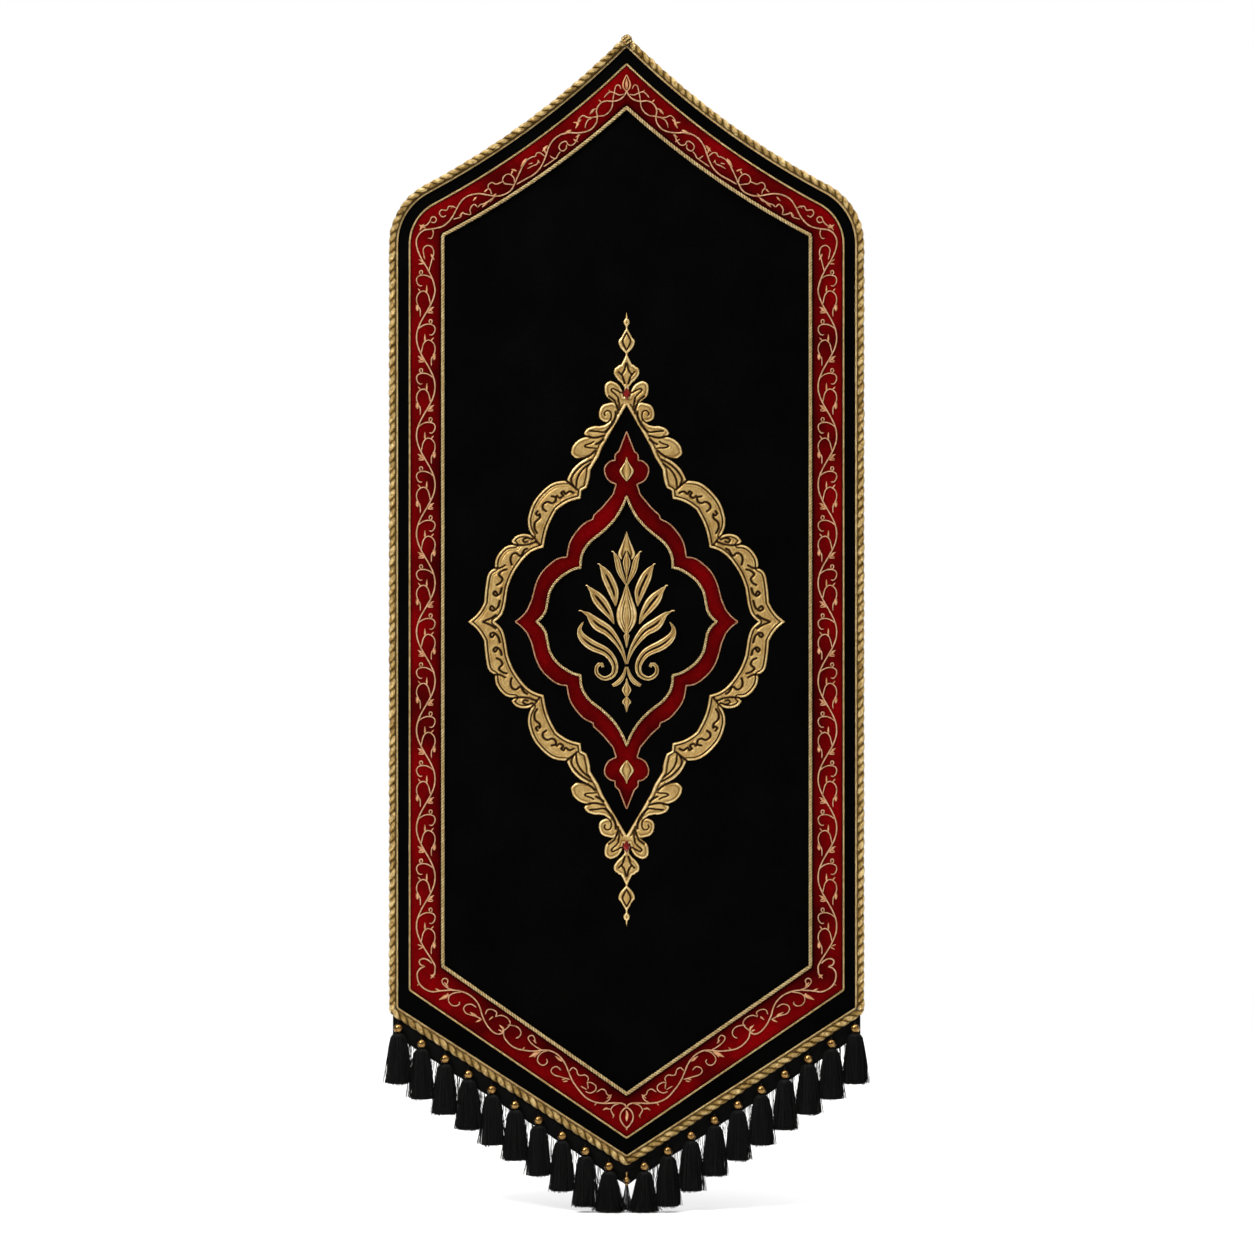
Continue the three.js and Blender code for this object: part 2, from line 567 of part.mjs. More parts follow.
function palmette() {
  const pieces = PALMETTE_MIDDLES.map((rows) => plate(middleOutline(rows), ON_CLOTH, LEAF_THICKNESS));
  const spine = [
    { x: 0, z: SPINE.top, width: 2 * SPINE.halfWidth },
    { x: 0, z: SPINE.bottom, width: 2 * SPINE.halfWidth },
  ];
  pieces.push(plate(leafOutline(spine, 1), ON_CLOTH, TIE_THICKNESS));
  for (const side of [1, -1]) {
    for (const rows of PALMETTE_LEAVES) pieces.push(plate(leafOutline(rows, side), ON_CLOTH, LEAF_THICKNESS));
    for (const rows of PALMETTE_TIES) pieces.push(plate(leafOutline(rows, side), ON_CLOTH, TIE_THICKNESS));
  }
  return joined(pieces);
}

function lozengeOutline(height, halfWidth, up, down) {
  const z = MEDALLION_HEIGHT + height;
  const corners = [[0, z + up], [halfWidth, z], [0, z - down], [-halfWidth, z]];
  return corners.map(([x, y]) => new THREE.Vector2(x, y));
}

// A red stone over the join of the frame's arms, its face cut to a table
function gem(height) {
  const outline = lozengeOutline(height, GEM.halfWidth, GEM.halfHeight, GEM.halfHeight);
  const back = ON_CLOTH - FRAME_THICKNESS - GAP;
  const centre = MEDALLION_HEIGHT + height;
  const corners = [[1, back], [GEM.table, back - GEM.thickness]].flatMap(([share, depth]) => (
    outline.map((p) => [p.x * share, depth, centre + (p.y - centre) * share])
  ));
  const sides = [0, 1, 2, 3].map((k) => [k, (k + 1) % 4, ((k + 1) % 4) + 4, k + 4]);
  return polyhedron(corners, [[3, 2, 1, 0], [4, 5, 6, 7], ...sides]);
}

function addMedallion() {
  const onRed = ON_CLOTH - BORDER_THICKNESS - GAP;
  const frame = ring(fourfold(FRAME_OUTSIDE), fourfold(FRAME_INSIDE), ON_CLOTH, FRAME_THICKNESS);
  const redHole = spread(fourfold(PIPING_LINE), PIPING_RADIUS + GAP);
  const red = ring(fourfold(RED_OUTSIDE), redHole, ON_CLOTH, BORDER_THICKNESS);
  add('medallion_frame', frame, GOLD_THREAD);
  add('medallion_red_band', red, RED_VELVET);
  const pipingDepth = ON_CLOTH - PIPING_RADIUS;
  const piping = cord(fourfold(PIPING_LINE), pipingDepth, PIPING_RADIUS, CORD_SIDES, true);
  add('medallion_piping', piping, GOLD_THREAD);
  add('palmette', palmette(), GOLD_THREAD);
  for (const [name, side, long, short] of [
    ['diamond_top', 1, DIAMOND.up, DIAMOND.down],
    ['diamond_bottom', -LOWER_HALF, DIAMOND.down, DIAMOND.up],
  ]) {
    const outline = lozengeOutline(side * DIAMOND.height, DIAMOND.halfWidth, long, short);
    add(name, plate(outline, onRed, FRAME_THICKNESS - BORDER_THICKNESS), GOLD_THREAD);
  }
  add('gem_top', gem(GEM.height), GLASS_RED);
  add('gem_bottom', gem(-GEM.height * LOWER_HALF), GLASS_RED);
}

// Cloth, border and trimmings

function addCloth() {
  add('velvet_ground', plate(bannerLine(EDGE), -CLOTH_FACE, CLOTH_THICKNESS), CLOTH);
  const borderOutside = bannerLine(inside(OUTER_CORD_LINE, FINE_CORD_RADIUS + GAP));
  const borderInside = bannerLine(inside(INNER_CORD_LINE, -THICK_CORD_RADIUS - GAP));
  add('red_border', ring(borderOutside, borderInside, ON_CLOTH, BORDER_THICKNESS), RED_VELVET);
  add('heading_strip', headingStrip(), SILK);
}

function addCords() {
  for (const [name, line, radius] of [
    ['edge_cord', inside(EDGE, EDGE_CORD_INSET), FINE_CORD_RADIUS],
    ['border_outer_cord', OUTER_CORD_LINE, FINE_CORD_RADIUS],
    ['border_inner_cord', INNER_CORD_LINE, THICK_CORD_RADIUS],
  ]) {
    add(name, cord(bannerLine(line), ON_CLOTH - radius, radius, CORD_SIDES, true), GOLD_THREAD);
  }
  add('edge_rope', edgeRope(), GOLD_THREAD);
  add('hem_rope', hemRope(), GOLD_THREAD);
}

addCloth();
addCords();
addMedallion();
addTassels();

export default banner;
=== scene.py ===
# Religious banner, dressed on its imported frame: velvet with a pile, twisted ropes and cords, a
# couched vine on the border, an embroidered medallion in relief, and tassels of single threads.
# Metres, +Z up, the face towards -Y. The tables are in mm and become metres when a piece is made.
import math

import bmesh
import bpy
import numpy as np
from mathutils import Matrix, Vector
from mathutils.geometry import tessellate_polygon


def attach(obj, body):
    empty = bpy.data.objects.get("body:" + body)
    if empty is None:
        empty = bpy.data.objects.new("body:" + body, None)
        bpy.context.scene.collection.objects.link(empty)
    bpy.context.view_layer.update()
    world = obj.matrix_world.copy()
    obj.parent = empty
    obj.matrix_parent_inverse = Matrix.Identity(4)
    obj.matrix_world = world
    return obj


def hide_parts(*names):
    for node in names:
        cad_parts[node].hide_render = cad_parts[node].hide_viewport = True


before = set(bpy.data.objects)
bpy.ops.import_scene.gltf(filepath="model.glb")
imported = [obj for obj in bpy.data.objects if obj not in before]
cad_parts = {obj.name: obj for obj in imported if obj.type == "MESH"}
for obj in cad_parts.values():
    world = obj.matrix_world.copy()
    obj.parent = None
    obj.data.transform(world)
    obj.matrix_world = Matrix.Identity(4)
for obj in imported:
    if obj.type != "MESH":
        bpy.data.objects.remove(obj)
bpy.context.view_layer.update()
MM = 0.001
# Corners nearer to each other than this, in metres, are one corner
SAME_PLACE = 1e-6

# The measures of the CAD source
HALF_WIDTH = 254
CLOTH_BACK = 1.0
ON_CLOTH = -1.3
POINT_ANGLE = 45
SLOPE_RADIUS = 920.7
SLOPE_STEPS = 48
SHOULDER_STEPS = 24
# A line round the banner: distance inside the side, inside the top, its shoulder's radius, the
# height of its hem's point, and the hem's slope in degrees
EDGE = (0, 0, 66.4, -1225, 32.85)
OUTER_CORD_LINE = (15.5, 16, 50, -1203, 34.3)
INNER_CORD_LINE = (52, 51, 0, -1154.5, 34.8)
FINE_CORD_RADIUS = 1.2
EDGE_CORD_INSET = 1.7
THICK_CORD_RADIUS = 2.6
PIPING_RADIUS = 1.6
KNOT = {"radius": 5.7, "half_depth": 4.6, "height": 3.6, "depth": -5.6}
STRIP = {"reach": 257, "drop": 30.3}
PAIRS = 10
FIRST_BEAD = (19.6, -1233.6)
BEAD_STEP = (25.7, 16.83)
FLOOR = -1283.7
BEAD_RADIUS = 5.25
BEAD_BORE = 1.15
TASSEL_LENGTH = 62
MIDDLE_BEAD_RADIUS = 3.75
MIDDLE_HEIGHT = -1248.5
MIDDLE_LENGTH = 34
MEDALLION_HEIGHT = -635.6
LOWER_HALF = 0.985


# Pieces

def loft_faces(rows, columns, closed=True, around=False):
    """Faces between rows of corners. Each row may close into a ring, and the last row may meet the first."""
    i = np.arange(rows if around else rows - 1)[:, None]
    k = np.arange(columns if closed else columns - 1)[None]
    after = (i + 1) % rows
    beside = (k + 1) % columns
    faces = [i * columns + k, i * columns + beside, after * columns + beside, after * columns + k]
    return np.stack(faces, -1).reshape(-1, 4)


class Piece:
    """Collects corners and faces in mm. Each corner has a tone from 0, dark, to 1, light, which on most
    pieces paints shade and highlight, and a spot on its thread: how far along it lies and how far round, in
    mm."""

    def __init__(self):
        self.points, self.tones, self.spots = [], [], []
        self.quads, self.triangles = [], []
        self.count = 0

    def add(self, points, quads=(), triangles=(), tone=0.5, spots=None):
        points = np.asarray(points, float).reshape(-1, 3)
        size = len(points)
        self.points.append(points)
        self.quads.append(np.asarray(quads, int).reshape(-1, 4) + self.count)
        self.triangles.append(np.asarray(triangles, int).reshape(-1, 3) + self.count)
        self.tones.append(np.broadcast_to(np.asarray(tone, float), (size,)))
        self.spots.append(np.zeros((size, 2)) if spots is None else np.asarray(spots, float).reshape(-1, 2))
        self.count += size

    def add_rings(self, rings, tone=0.5, turn=-1):
        """Rings of corners with faces between them. A turn of 1 has the faces look the other way."""
        self.add(np.concatenate(rings), loft_faces(len(rings), len(rings[0]))[:, ::turn], tone=tone)

    def build(self, name, material, slot, replaces=(), flat=False, weld=False):
        parts = self.points, self.quads, self.triangles
        points, quads, triangles = (np.concatenate(part) for part in parts)
        corners = np.concatenate([quads.ravel(), triangles.ravel()])
        starts = np.concatenate([np.arange(len(quads)) * 4, len(quads) * 4 + np.arange(len(triangles)) * 3])
        mesh = bpy.data.meshes.new(name)
        mesh.vertices.add(len(points))
        mesh.vertices.foreach_set("co", (points * MM).ravel())
        mesh.loops.add(len(corners))
        mesh.loops.foreach_set("vertex_index", corners.astype(np.int32))
        mesh.polygons.add(len(starts))
        mesh.polygons.foreach_set("loop_start", starts.astype(np.int32))
        mesh.update(calc_edges=True)
        tone = mesh.attributes.new("tone", "FLOAT", "POINT")
        tone.data.foreach_set("value", np.concatenate(self.tones).astype(np.float32))
        spots = np.concatenate(self.spots)[corners]
        mesh.uv_layers.new(name="thread").data.foreach_set("uv", (spots * MM).ravel())
        mesh.polygons.foreach_set("use_smooth", np.full(len(starts), not flat))
        mesh.materials.append(material)
        piece = bpy.data.objects.new(name, mesh)
        bpy.context.scene.collection.objects.link(piece)
        if weld:
            join_seams(mesh)
        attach(piece, "root")
        if replaces:
            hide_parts(*replaces)
        return piece


def join_seams(mesh):
    work = bmesh.new()
    work.from_mesh(mesh)
    bmesh.ops.remove_doubles(work, verts=work.verts, dist=SAME_PLACE)
    work.to_mesh(mesh)
    work.free()


# Paths on the face, as rows of (x, z)

BULGE_STEPS = 8


def inside(line, distance):
    side, top, shoulder, tip, slope = line
    lift = distance / math.cos(math.radians(slope))
    return side + distance, top + distance, max(0.0, shoulder - distance), tip + lift, slope


def right_half(line):
    """The right half of a line round the banner, from its top point to the corner of its hem."""
    side, top, shoulder, tip, slope = line
    half = HALF_WIDTH - side
    radius = SLOPE_RADIUS + top
    turn = math.radians(POINT_ANGLE)
    centre = SLOPE_RADIUS * np.array([math.sin(turn), math.cos(turn)])
    ball_x = half - shoulder
    ball = np.array([ball_x, centre[1] - math.sqrt((radius + shoulder) ** 2 - (centre[0] - ball_x) ** 2)])
    meet = math.atan2(centre[0] - ball[0], centre[1] - ball[1])
    angles = np.linspace(math.asin(centre[0] / radius), meet, SLOPE_STEPS + 1)
    slope_part = centre - radius * np.stack([np.sin(angles), np.cos(angles)], 1)
    angles = np.linspace(meet, math.pi / 2, SHOULDER_STEPS + 1)[1:]
    shoulder_part = ball + shoulder * np.stack([np.sin(angles), np.cos(angles)], 1)
    corner = [[half, tip + half * math.tan(math.radians(slope))]]
    points = np.concatenate([slope_part, shoulder_part, corner])
    points[0, 0] = 0
    return points


def flipped(points, side=-1):
    """Rows of (x, z) or of (x, z, width) with x times the side."""
    points = np.array(points, float)
    points[:, 0] *= side
    return points


def mirrored(points):
    return flipped(points)[::-1]


def banner_line(line):
    right = right_half(line)
    return np.concatenate([right, [[0, line[3]]], mirrored(right[1:])])


def without_doubles(points):
    keep = np.concatenate([[True], np.linalg.norm(np.diff(points, axis=0), axis=1) > 1e-6])
    return points[keep]


def distances(points):
    steps = np.linalg.norm(np.diff(points, axis=0), axis=1)
    return np.concatenate([[0], np.cumsum(steps)])


def resampled(points, step, closed=False):
    points = np.asarray(points, float)
    if closed:
        points = np.concatenate([points, points[:1]])
    points = without_doubles(points)
    lengths = distances(points)
    count = max(3, int(round(lengths[-1] / step)) + 1)
    at = np.linspace(0, lengths[-1], count)
    if closed:
        at = at[:-1]
    return np.stack([np.interp(at, lengths, column) for column in points.T], 1)


def flowing(points, step, closed=False):
    """A smooth curve through the points, with even steps."""
    points = np.asarray(points, float)
    if closed:
        ends = [points[-1:], points, points[:2]]
    else:
        ends = [[2 * points[0] - points[1]], points, [2 * points[-1] - points[-2]]]
    padded = np.concatenate(ends)
    t = np.linspace(0, 1, 11)[:-1, None]
    fine = []
    for i in range(len(padded) - 3):
        a, b, c, d = padded[i:i + 4]
        bend = (2 * a - 5 * b + 4 * c - d) * t ** 2 + (3 * b - a - 3 * c + d) * t ** 3
        fine.append((2 * b + (c - a) * t + bend) / 2)
    if not closed:
        fine.append(points[-1:])
    return resampled(np.concatenate(fine), step, closed)


def softened(path, passes, closed):
    """A path whose corners are rounded off a little."""
    for _ in range(passes):
        if closed:
            path = (np.roll(path, 1, 0) + 2 * path + np.roll(path, -1, 0)) / 4
        else:
            path[1:-1] = (path[:-2] + 2 * path[1:-1] + path[2:]) / 4
    return path


def ways_along(path, closed):
    if closed:
        along = np.roll(path, -1, 0) - np.roll(path, 1, 0)
    else:
        along = np.gradient(path, axis=0)
    return along / np.linalg.norm(along, axis=1)[:, None]


def ways_across(path, closed=False):
    """The way across a path on the face at each place, to its left."""
    along = ways_along(path, closed)
    return np.stack([-along[:, 1], along[:, 0]], 1)


def at_depth(path, depth):
    path = np.asarray(path, float)
    return np.stack([path[:, 0], np.broadcast_to(depth, (len(path),)), path[:, 1]], 1)


def charted(chart):
    """The points of a chart of (x, z) or (x, z, bulge), where a bulge swells a stretch outwards."""
    points = []
    for row in chart:
        end = np.array(row[:2], float)
        if len(row) > 2:
            start = points[-1]
            way = (end - start) / np.linalg.norm(end - start)
            out = np.array([-way[1], way[0]])
            for share in np.arange(1, BULGE_STEPS) / BULGE_STEPS:
                points.append(start + (end - start) * share + out * row[2] * math.sin(math.pi * share))
        points.append(end)
    return np.array(points)


def fourfold(chart):
    quarter = charted(chart)
    right = np.concatenate([quarter, quarter[:-1][::-1] * np.array([1, -LOWER_HALF])])
    whole = np.concatenate([right, mirrored(right[1:-1])])
    return whole + np.array([0, MEDALLION_HEIGHT])


# Threads, cords and ropes

TO_FRONT = (0, -1, 0)
STRANDS = 2
# How strong the painted shade is on a thread where it turns in towards its neighbours
CREVICE_SHADE = 0.6


def tube(piece, path, normals, radius, sides, closed=False, tone=0.5, crevice_shade=0.0):
    """A thread along a path in space, with painted shade where it turns in towards its neighbours, as
    strong as the last argument says.
    """
    path = np.asarray(path, float)
    count = len(path)
    along = ways_along(path, closed)
    normals = np.broadcast_to(np.asarray(normals, float), path.shape)
    normals = normals - (normals * along).sum(1)[:, None] * along
    normals /= np.linalg.norm(normals, axis=1)[:, None]
    others = np.cross(along, normals)
    angles = 2 * np.pi * np.arange(sides) / sides
    reach = np.broadcast_to(np.asarray(radius, float), (count,))
    ways = np.cos(angles)[None, :, None] * normals[:, None] + np.sin(angles)[None, :, None] * others[:, None]
    spots = np.empty((count, sides, 2))
    spots[..., 0] = distances(path)[:, None]
    spots[..., 1] = angles[None] * reach.max()
    tones = np.broadcast_to(np.asarray(tone, float), (count,))[:, None]
    if crevice_shade:
        tones = tones * np.clip(0.12 + 0.95 * np.cos(angles), 0, 1)[None] ** crevice_shade
    tones = np.broadcast_to(tones, (count, sides)).ravel()
    points = path[:, None] + reach[:, None, None] * ways
    piece.add(points, loft_faces(count, sides, around=closed), tone=tones, spots=spots)


def rounding(count, rings):
    """Thickness of an open thread at each place, drawn in over a few rings at both ends."""
    place = np.arange(count)
    share = np.clip(np.minimum(place, count - 1 - place) / rings, 0, 1)
    return np.sqrt(1 - (1 - share) ** 2) * 0.96 + 0.04


def laid_thread(piece, path, radius, depth, closed=False):
    """A single thread on the face, whose middle lies at one depth."""
    reach = radius if closed else radius * rounding(len(path), 2)
    tube(piece, at_depth(path, depth), TO_FRONT, reach, 6, closed, 1.0, CREVICE_SHADE)


def twisted(piece, path, depth, radius, lay, step, sides, closed, plump, soft=2, facing=None):
    """Strands twisted round each other along a path at one depth. Facing is the way, in degrees from the
    path's outer side towards the front, in which the strands swell and are painted lighter as a highlight."""
    places = softened(resampled(path, step, closed), soft, closed)
    across = ways_across(places, closed)
    length = distances(places)
    whole = length[-1] + (np.linalg.norm(places[0] - places[-1]) if closed else 0)
    phase = 2 * np.pi * max(1, round(whole / lay)) * length / whole
    thread = radius * plump
    ends = np.ones(len(places)) if closed else rounding(len(places), max(2, round(radius / step)))
    out = (radius - thread) * ends
    for strand in range(STRANDS):
        angle = phase + 2 * np.pi * strand / STRANDS
        middle = places + across * (out * np.cos(angle))[:, None]
        normals = at_depth(across * np.cos(angle)[:, None], -np.sin(angle))
        size = thread * ends
        tone = 1.0
        if facing is not None:
            shown = (1 + np.cos(angle - np.radians(facing))) / 2
            uneven = 0.05 * np.sin(length / 4.7 + strand) + 0.05 * np.sin(length / 7.9 + 3 * strand)
            size = size * (0.86 + 0.14 * shown + uneven)
            # Painted highlight on the side the strands face, and a tone that differs at random
            tone = 0.62 + 0.38 * shown + 3 * uneven
        tube(piece, at_depth(middle, depth - out * np.sin(angle)), normals, size, sides, closed, tone, CREVICE_SHADE)


# Relief: raised work whose height follows the distance from its outline

RELIEF_FOOT = 0.25


def gap_to(chain, x, z):
    """Distance from each place to a chain of points."""
    nearest = np.full(x.shape, 1e9)
    for (ax, az), (bx, bz) in zip(chain[:-1], chain[1:]):
        dx, dz = bx - ax, bz - az
        size = dx * dx + dz * dz
        if size < 1e-12:
            continue
        share = np.clip(((x - ax) * dx + (z - az) * dz) / size, 0, 1)
        nearest = np.minimum(nearest, (x - ax - share * dx) ** 2 + (z - az - share * dz) ** 2)
    return np.sqrt(nearest)


def within(loop, x, z):
    result = np.zeros(x.shape, bool)
    for (ax, az), (bx, bz) in zip(loop, np.roll(loop, -1, 0)):
        if az == bz:
            continue
        crosses = (az > z) != (bz > z)
        result ^= crosses & (x < (bx - ax) * (z - az) / (bz - az) + ax)
    return result


def depth_inside(chain, x, z):
    """Distance inside the quarter that a chain bounds, less than 0 outside it."""
    loop = np.concatenate([chain, [[0, 0]]])
    return np.where(within(loop, x, z), 1, -1) * gap_to(chain, x, z)


def cut_grid(grid_x, grid_z, field):
    """Corners, faces and rim of the part of a grid where the field is above 0."""
    kept = field > 0
    number = np.full(field.shape, -1)
    number[kept] = np.arange(kept.sum())
    points = list(zip(grid_x[kept], grid_z[kept]))
    full = kept[:-1, :-1] & kept[:-1, 1:] & kept[1:, 1:] & kept[1:, :-1]
    i, j = np.nonzero(full)
    quads = np.stack([number[i, j], number[i, j + 1], number[i + 1, j + 1], number[i + 1, j]], 1)
    crossings = {}

    def crossing(a, b):
        key = (min(a, b), max(a, b))
        if key not in crossings:
            share = field[a] / (field[a] - field[b])
            x = grid_x[a] + (grid_x[b] - grid_x[a]) * share
            z = grid_z[a] + (grid_z[b] - grid_z[a]) * share
            crossings[key] = len(points)
            points.append((x, z))
        return crossings[key]

    some = kept[:-1, :-1] | kept[:-1, 1:] | kept[1:, 1:] | kept[1:, :-1]
    triangles, rim = [], []
    for i, j in zip(*np.nonzero(some & ~full)):
        corners = [(i, j), (i, j + 1), (i + 1, j + 1), (i + 1, j)]
        polygon, cuts = [], []
        for k in range(4):
            a, b = corners[k], corners[(k + 1) % 4]
            if kept[a]:
                polygon.append(number[a])
            if kept[a] != kept[b]:
                polygon.append(crossing(a, b))
                cuts.append((polygon[-1], kept[a]))
        for k in range(2, len(polygon)):
            triangles.append((polygon[0], polygon[k - 1], polygon[k]))
        for k, (place, leaves) in enumerate(cuts):
            if leaves:
                rim.append((place, cuts[(k + 1) % len(cuts)][0]))
    return np.array(points), quads, np.array(triangles), np.array(rim)


def relief(piece, outside, inside_line, extent, pitch, surface):
    """A raised shape between two charted lines, four times round the medallion's middle. The surface gives
    height and tone from x, z and the distances from both lines."""
    outside, inside_line = charted(outside), charted(inside_line)
    grid_z, grid_x = np.meshgrid(*(np.arange(0, extent[i] + pitch, pitch) for i in (1, 0)), indexing="ij")
    field = np.minimum(depth_inside(outside, grid_x, grid_z), -depth_inside(inside_line, grid_x, grid_z))
    flat, quads, triangles, rim = cut_grid(grid_x, grid_z, field)
    x, z = flat.T
    height, tone = surface(x, z, gap_to(outside, x, z), gap_to(inside_line, x, z))
    base = len(flat)
    walls = np.stack([rim[:, 1], rim[:, 0], rim[:, 0] + base, rim[:, 1] + base], 1)
    x, z = np.concatenate([flat, flat]).T
    y = ON_CLOTH + np.concatenate([-height, np.full(base, RELIEF_FOOT)])
    # The foot of each wall is painted darker, as shade where the relief meets the cloth
    tone = np.concatenate([tone, tone * 0.4])
    used = np.unique(np.concatenate([quads.ravel(), triangles.ravel(), walls.ravel()]))
    renumber = np.full(2 * base, -1)
    renumber[used] = np.arange(len(used))
    for side in (1, -1):
        for half in (1, -LOWER_HALF):
            points = np.stack([side * x, y, half * z + MEDALLION_HEIGHT], 1)[used]
            turn = 1 if side * half > 0 else -1
            faces = renumber[np.concatenate([quads, walls])]
            piece.add(points, faces[:, ::turn], renumber[triangles][:, ::turn], tone[used])


# Leaves and buds, swept along the row of places down their middle

# Across a leaf from its middle to its edge: share of half the width, height and tone. The tones paint
# shade where a leaf is low, in its veins and grooves and at its foot, and highlight on its rims and ridges
VEINED = [(0, 0.3, 0.0), (0.17, 0.5, 0.02), (0.3, 0.92, 0.6), (0.46, 0.95, 0.66), (0.6, 0.78, 0.34),
          (0.74, 0.98, 0.92), (0.9, 0.84, 0.95), (1, 0.35, 0.35), (1, -0.15, 0.05)]
PLAIN = [(0, 1, 0.66), (0.25, 0.98, 0.62), (0.42, 0.86, 0.42), (0.58, 0.66, 0.14), (0.74, 0.95, 0.92),
         (0.9, 0.82, 0.95), (1, 0.35, 0.35), (1, -0.15, 0.05)]
# A hollow, painted dark all over as shade
SHADED_HOLLOW = [(0, 1, 0.0), (0.6, 1, 0.0), (1, 0.9, 0.0), (1, -0.15, 0.0)]
BUD = [(0, 1, 0.8), (0.35, 0.88, 0.66), (0.7, 0.7, 0.42), (0.9, 0.55, 0.28), (1, 0.3, 0.12), (1, -0.15, 0.05)]
RIDGED = [(0, 1, 1), (0.35, 0.88, 0.8), (0.7, 0.7, 0.5), (0.9, 0.55, 0.35), (1, 0.3, 0.2), (1, -0.15, 0.05)]
# Shares past the leaf's tip, so that no vein shows
NO_VEIN = (2, 3)


def leaf(piece, rows, base, height, section=PLAIN, steps=26, vein=(0.22, 0.82)):
    """A raised leaf along rows of (x, z, width). The vein shows between two shares of its length."""
    share = np.linspace(0, 1, steps)
    path = flowing(rows, 0.5)
    path = np.stack([np.interp(share, np.linspace(0, 1, len(path)), column) for column in path.T], 1)
    middle, width = path[:, :2], np.maximum(path[:, 2], 0.5)
    shape = np.array(section)
    order, heights, tones = np.concatenate([shape[::-1] * [-1, 1, 1], shape[1:]]).T
    shown = np.clip(np.minimum(share - vein[0], vein[1] - share) / 0.08, 0, 1)
    hidden = (1 - shown)[:, None] * np.clip(1 - np.abs(order) / 0.28, 0, 1)[None]
    heights = heights[None] * (1 - hidden) + 0.95 * hidden
    tones = tones[None] * (1 - hidden) + 0.68 * hidden
    lift = height * np.clip(width / 5, 0.25, 1) ** 0.6
    flat = middle[:, None] + ways_across(middle)[:, None] * (order[None] * width[:, None] / 2)[..., None]
    points = np.stack([flat[..., 0], base - heights * lift[:, None], flat[..., 1]], -1)
    piece.add(points, loft_faces(steps, len(order), False), tone=tones.ravel())


def both_sides(rows):
    return flipped(rows, 1), flipped(rows)


def lifted(rows, height=MEDALLION_HEIGHT):
    return np.array(rows, float) + np.array([0, height, 0])


def upright(rows, height=MEDALLION_HEIGHT, turn=1):
    """A leaf on the middle line from its (z, width), upside down with a turn of -1."""
    return [(0, turn * z + height, width) for z, width in rows]


# Materials

def grey(value):
    return value, value, value


WHITE = grey(1)


def node(tree, kind, settings=(), **links):
    """A new node with settings and links by the names of its sockets."""
    made = tree.nodes.new("ShaderNode" + kind)
    for socket, value in dict(settings).items():
        made.inputs[socket].default_value = value
    for socket, source in links.items():
        tree.links.new(source, made.inputs[socket])
    return made


def material(name, **values):
    """A material and its node tree. The values go to the shader, with _ for each space in their names."""
    made = bpy.data.materials.new(name)
    made.use_nodes = True
    tree = made.node_tree
    tree.nodes.clear()
    named = {socket.replace("_", " "): value for socket, value in values.items()}
    shader = node(tree, "BsdfPrincipled", named)
    node(tree, "OutputMaterial", Surface=shader.outputs[0])
    return made, tree


def shader_of(tree):
    return next(found for found in tree.nodes if found.type == "BSDF_PRINCIPLED")


def finished(made, tree, colour, height, distance, strength):
    """Gives a material's shader its colour and its bump."""
    bump = node(tree, "Bump", {"Distance": distance, "Strength": strength}, Height=height)
    tree.links.new(colour, shader_of(tree).inputs["Base Color"])
    tree.links.new(bump.outputs[0], shader_of(tree).inputs["Normal"])
    return made


def places_in(tree, source, settings):
    places = node(tree, "TexCoord").outputs[source]
    return node(tree, "Mapping", settings, Vector=places).outputs[0]


def noise(tree, scale, detail, stretch=(1, 1, 1), turn=0):
    places = places_in(tree, "Object", {"Scale": stretch, "Rotation": (0, math.radians(turn), 0)})
    return node(tree, "TexNoise", {"Scale": scale, "Detail": detail}, Vector=places).outputs["Fac"]


def stripes(tree, scale, turn, source="UV"):
    places = places_in(tree, source, {"Rotation": [math.radians(angle) for angle in turn]})
    settings = {"Scale": scale, "Distortion": 1.0, "Detail": 1.5}
    return node(tree, "TexWave", settings, Vector=places).outputs["Fac"]


def ramp(tree, value, *stops):
    made = node(tree, "ValToRGB", Fac=value)
    elements = made.color_ramp.elements
    while len(elements) < len(stops):
        elements.new(0.5)
    for element, (place, colour) in zip(elements, stops):
        element.position = place
        element.color = (*colour, 1)
    return made.outputs[0]


def shaded(tree, colour, value, start, dark, end, share=1.0):
    """A colour that is darkened where the value is under the end, as dark as given under the start."""
    made = tree.nodes.new("ShaderNodeMix")
    made.data_type = "RGBA"
    made.blend_type = "MULTIPLY"
    made.inputs["Factor"].default_value = share
    tree.links.new(colour, made.inputs["A"])
    tree.links.new(ramp(tree, value, (start, dark), (end, WHITE)), made.inputs["B"])
    return made.outputs["Result"]


def tone_of(tree):
    made = node(tree, "Attribute")
    made.attribute_name = "tone"
    return made.outputs["Fac"]


def velvet(name, dark, light, sheen, tint):
    """Cut pile: cloudy where it lies one way or the other, with painted shade where the tone says."""
    made, tree = material(name, Roughness=0.95, Specular_IOR_Level=0.02, Sheen_Weight=sheen,
                          Sheen_Roughness=0.45, Sheen_Tint=(*tint, 1))
    pile = noise(tree, 1500, 2, (1, 1, 0.35))
    colour = ramp(tree, noise(tree, 16, 4), (0.32, dark), (0.68, light))
    colour = shaded(tree, colour, tone_of(tree), 0, grey(0.3), 1)
    colour = shaded(tree, colour, pile, 0.3, grey(0.55), 0.7)
    return finished(made, tree, colour, pile, 0.0006, 0.6)


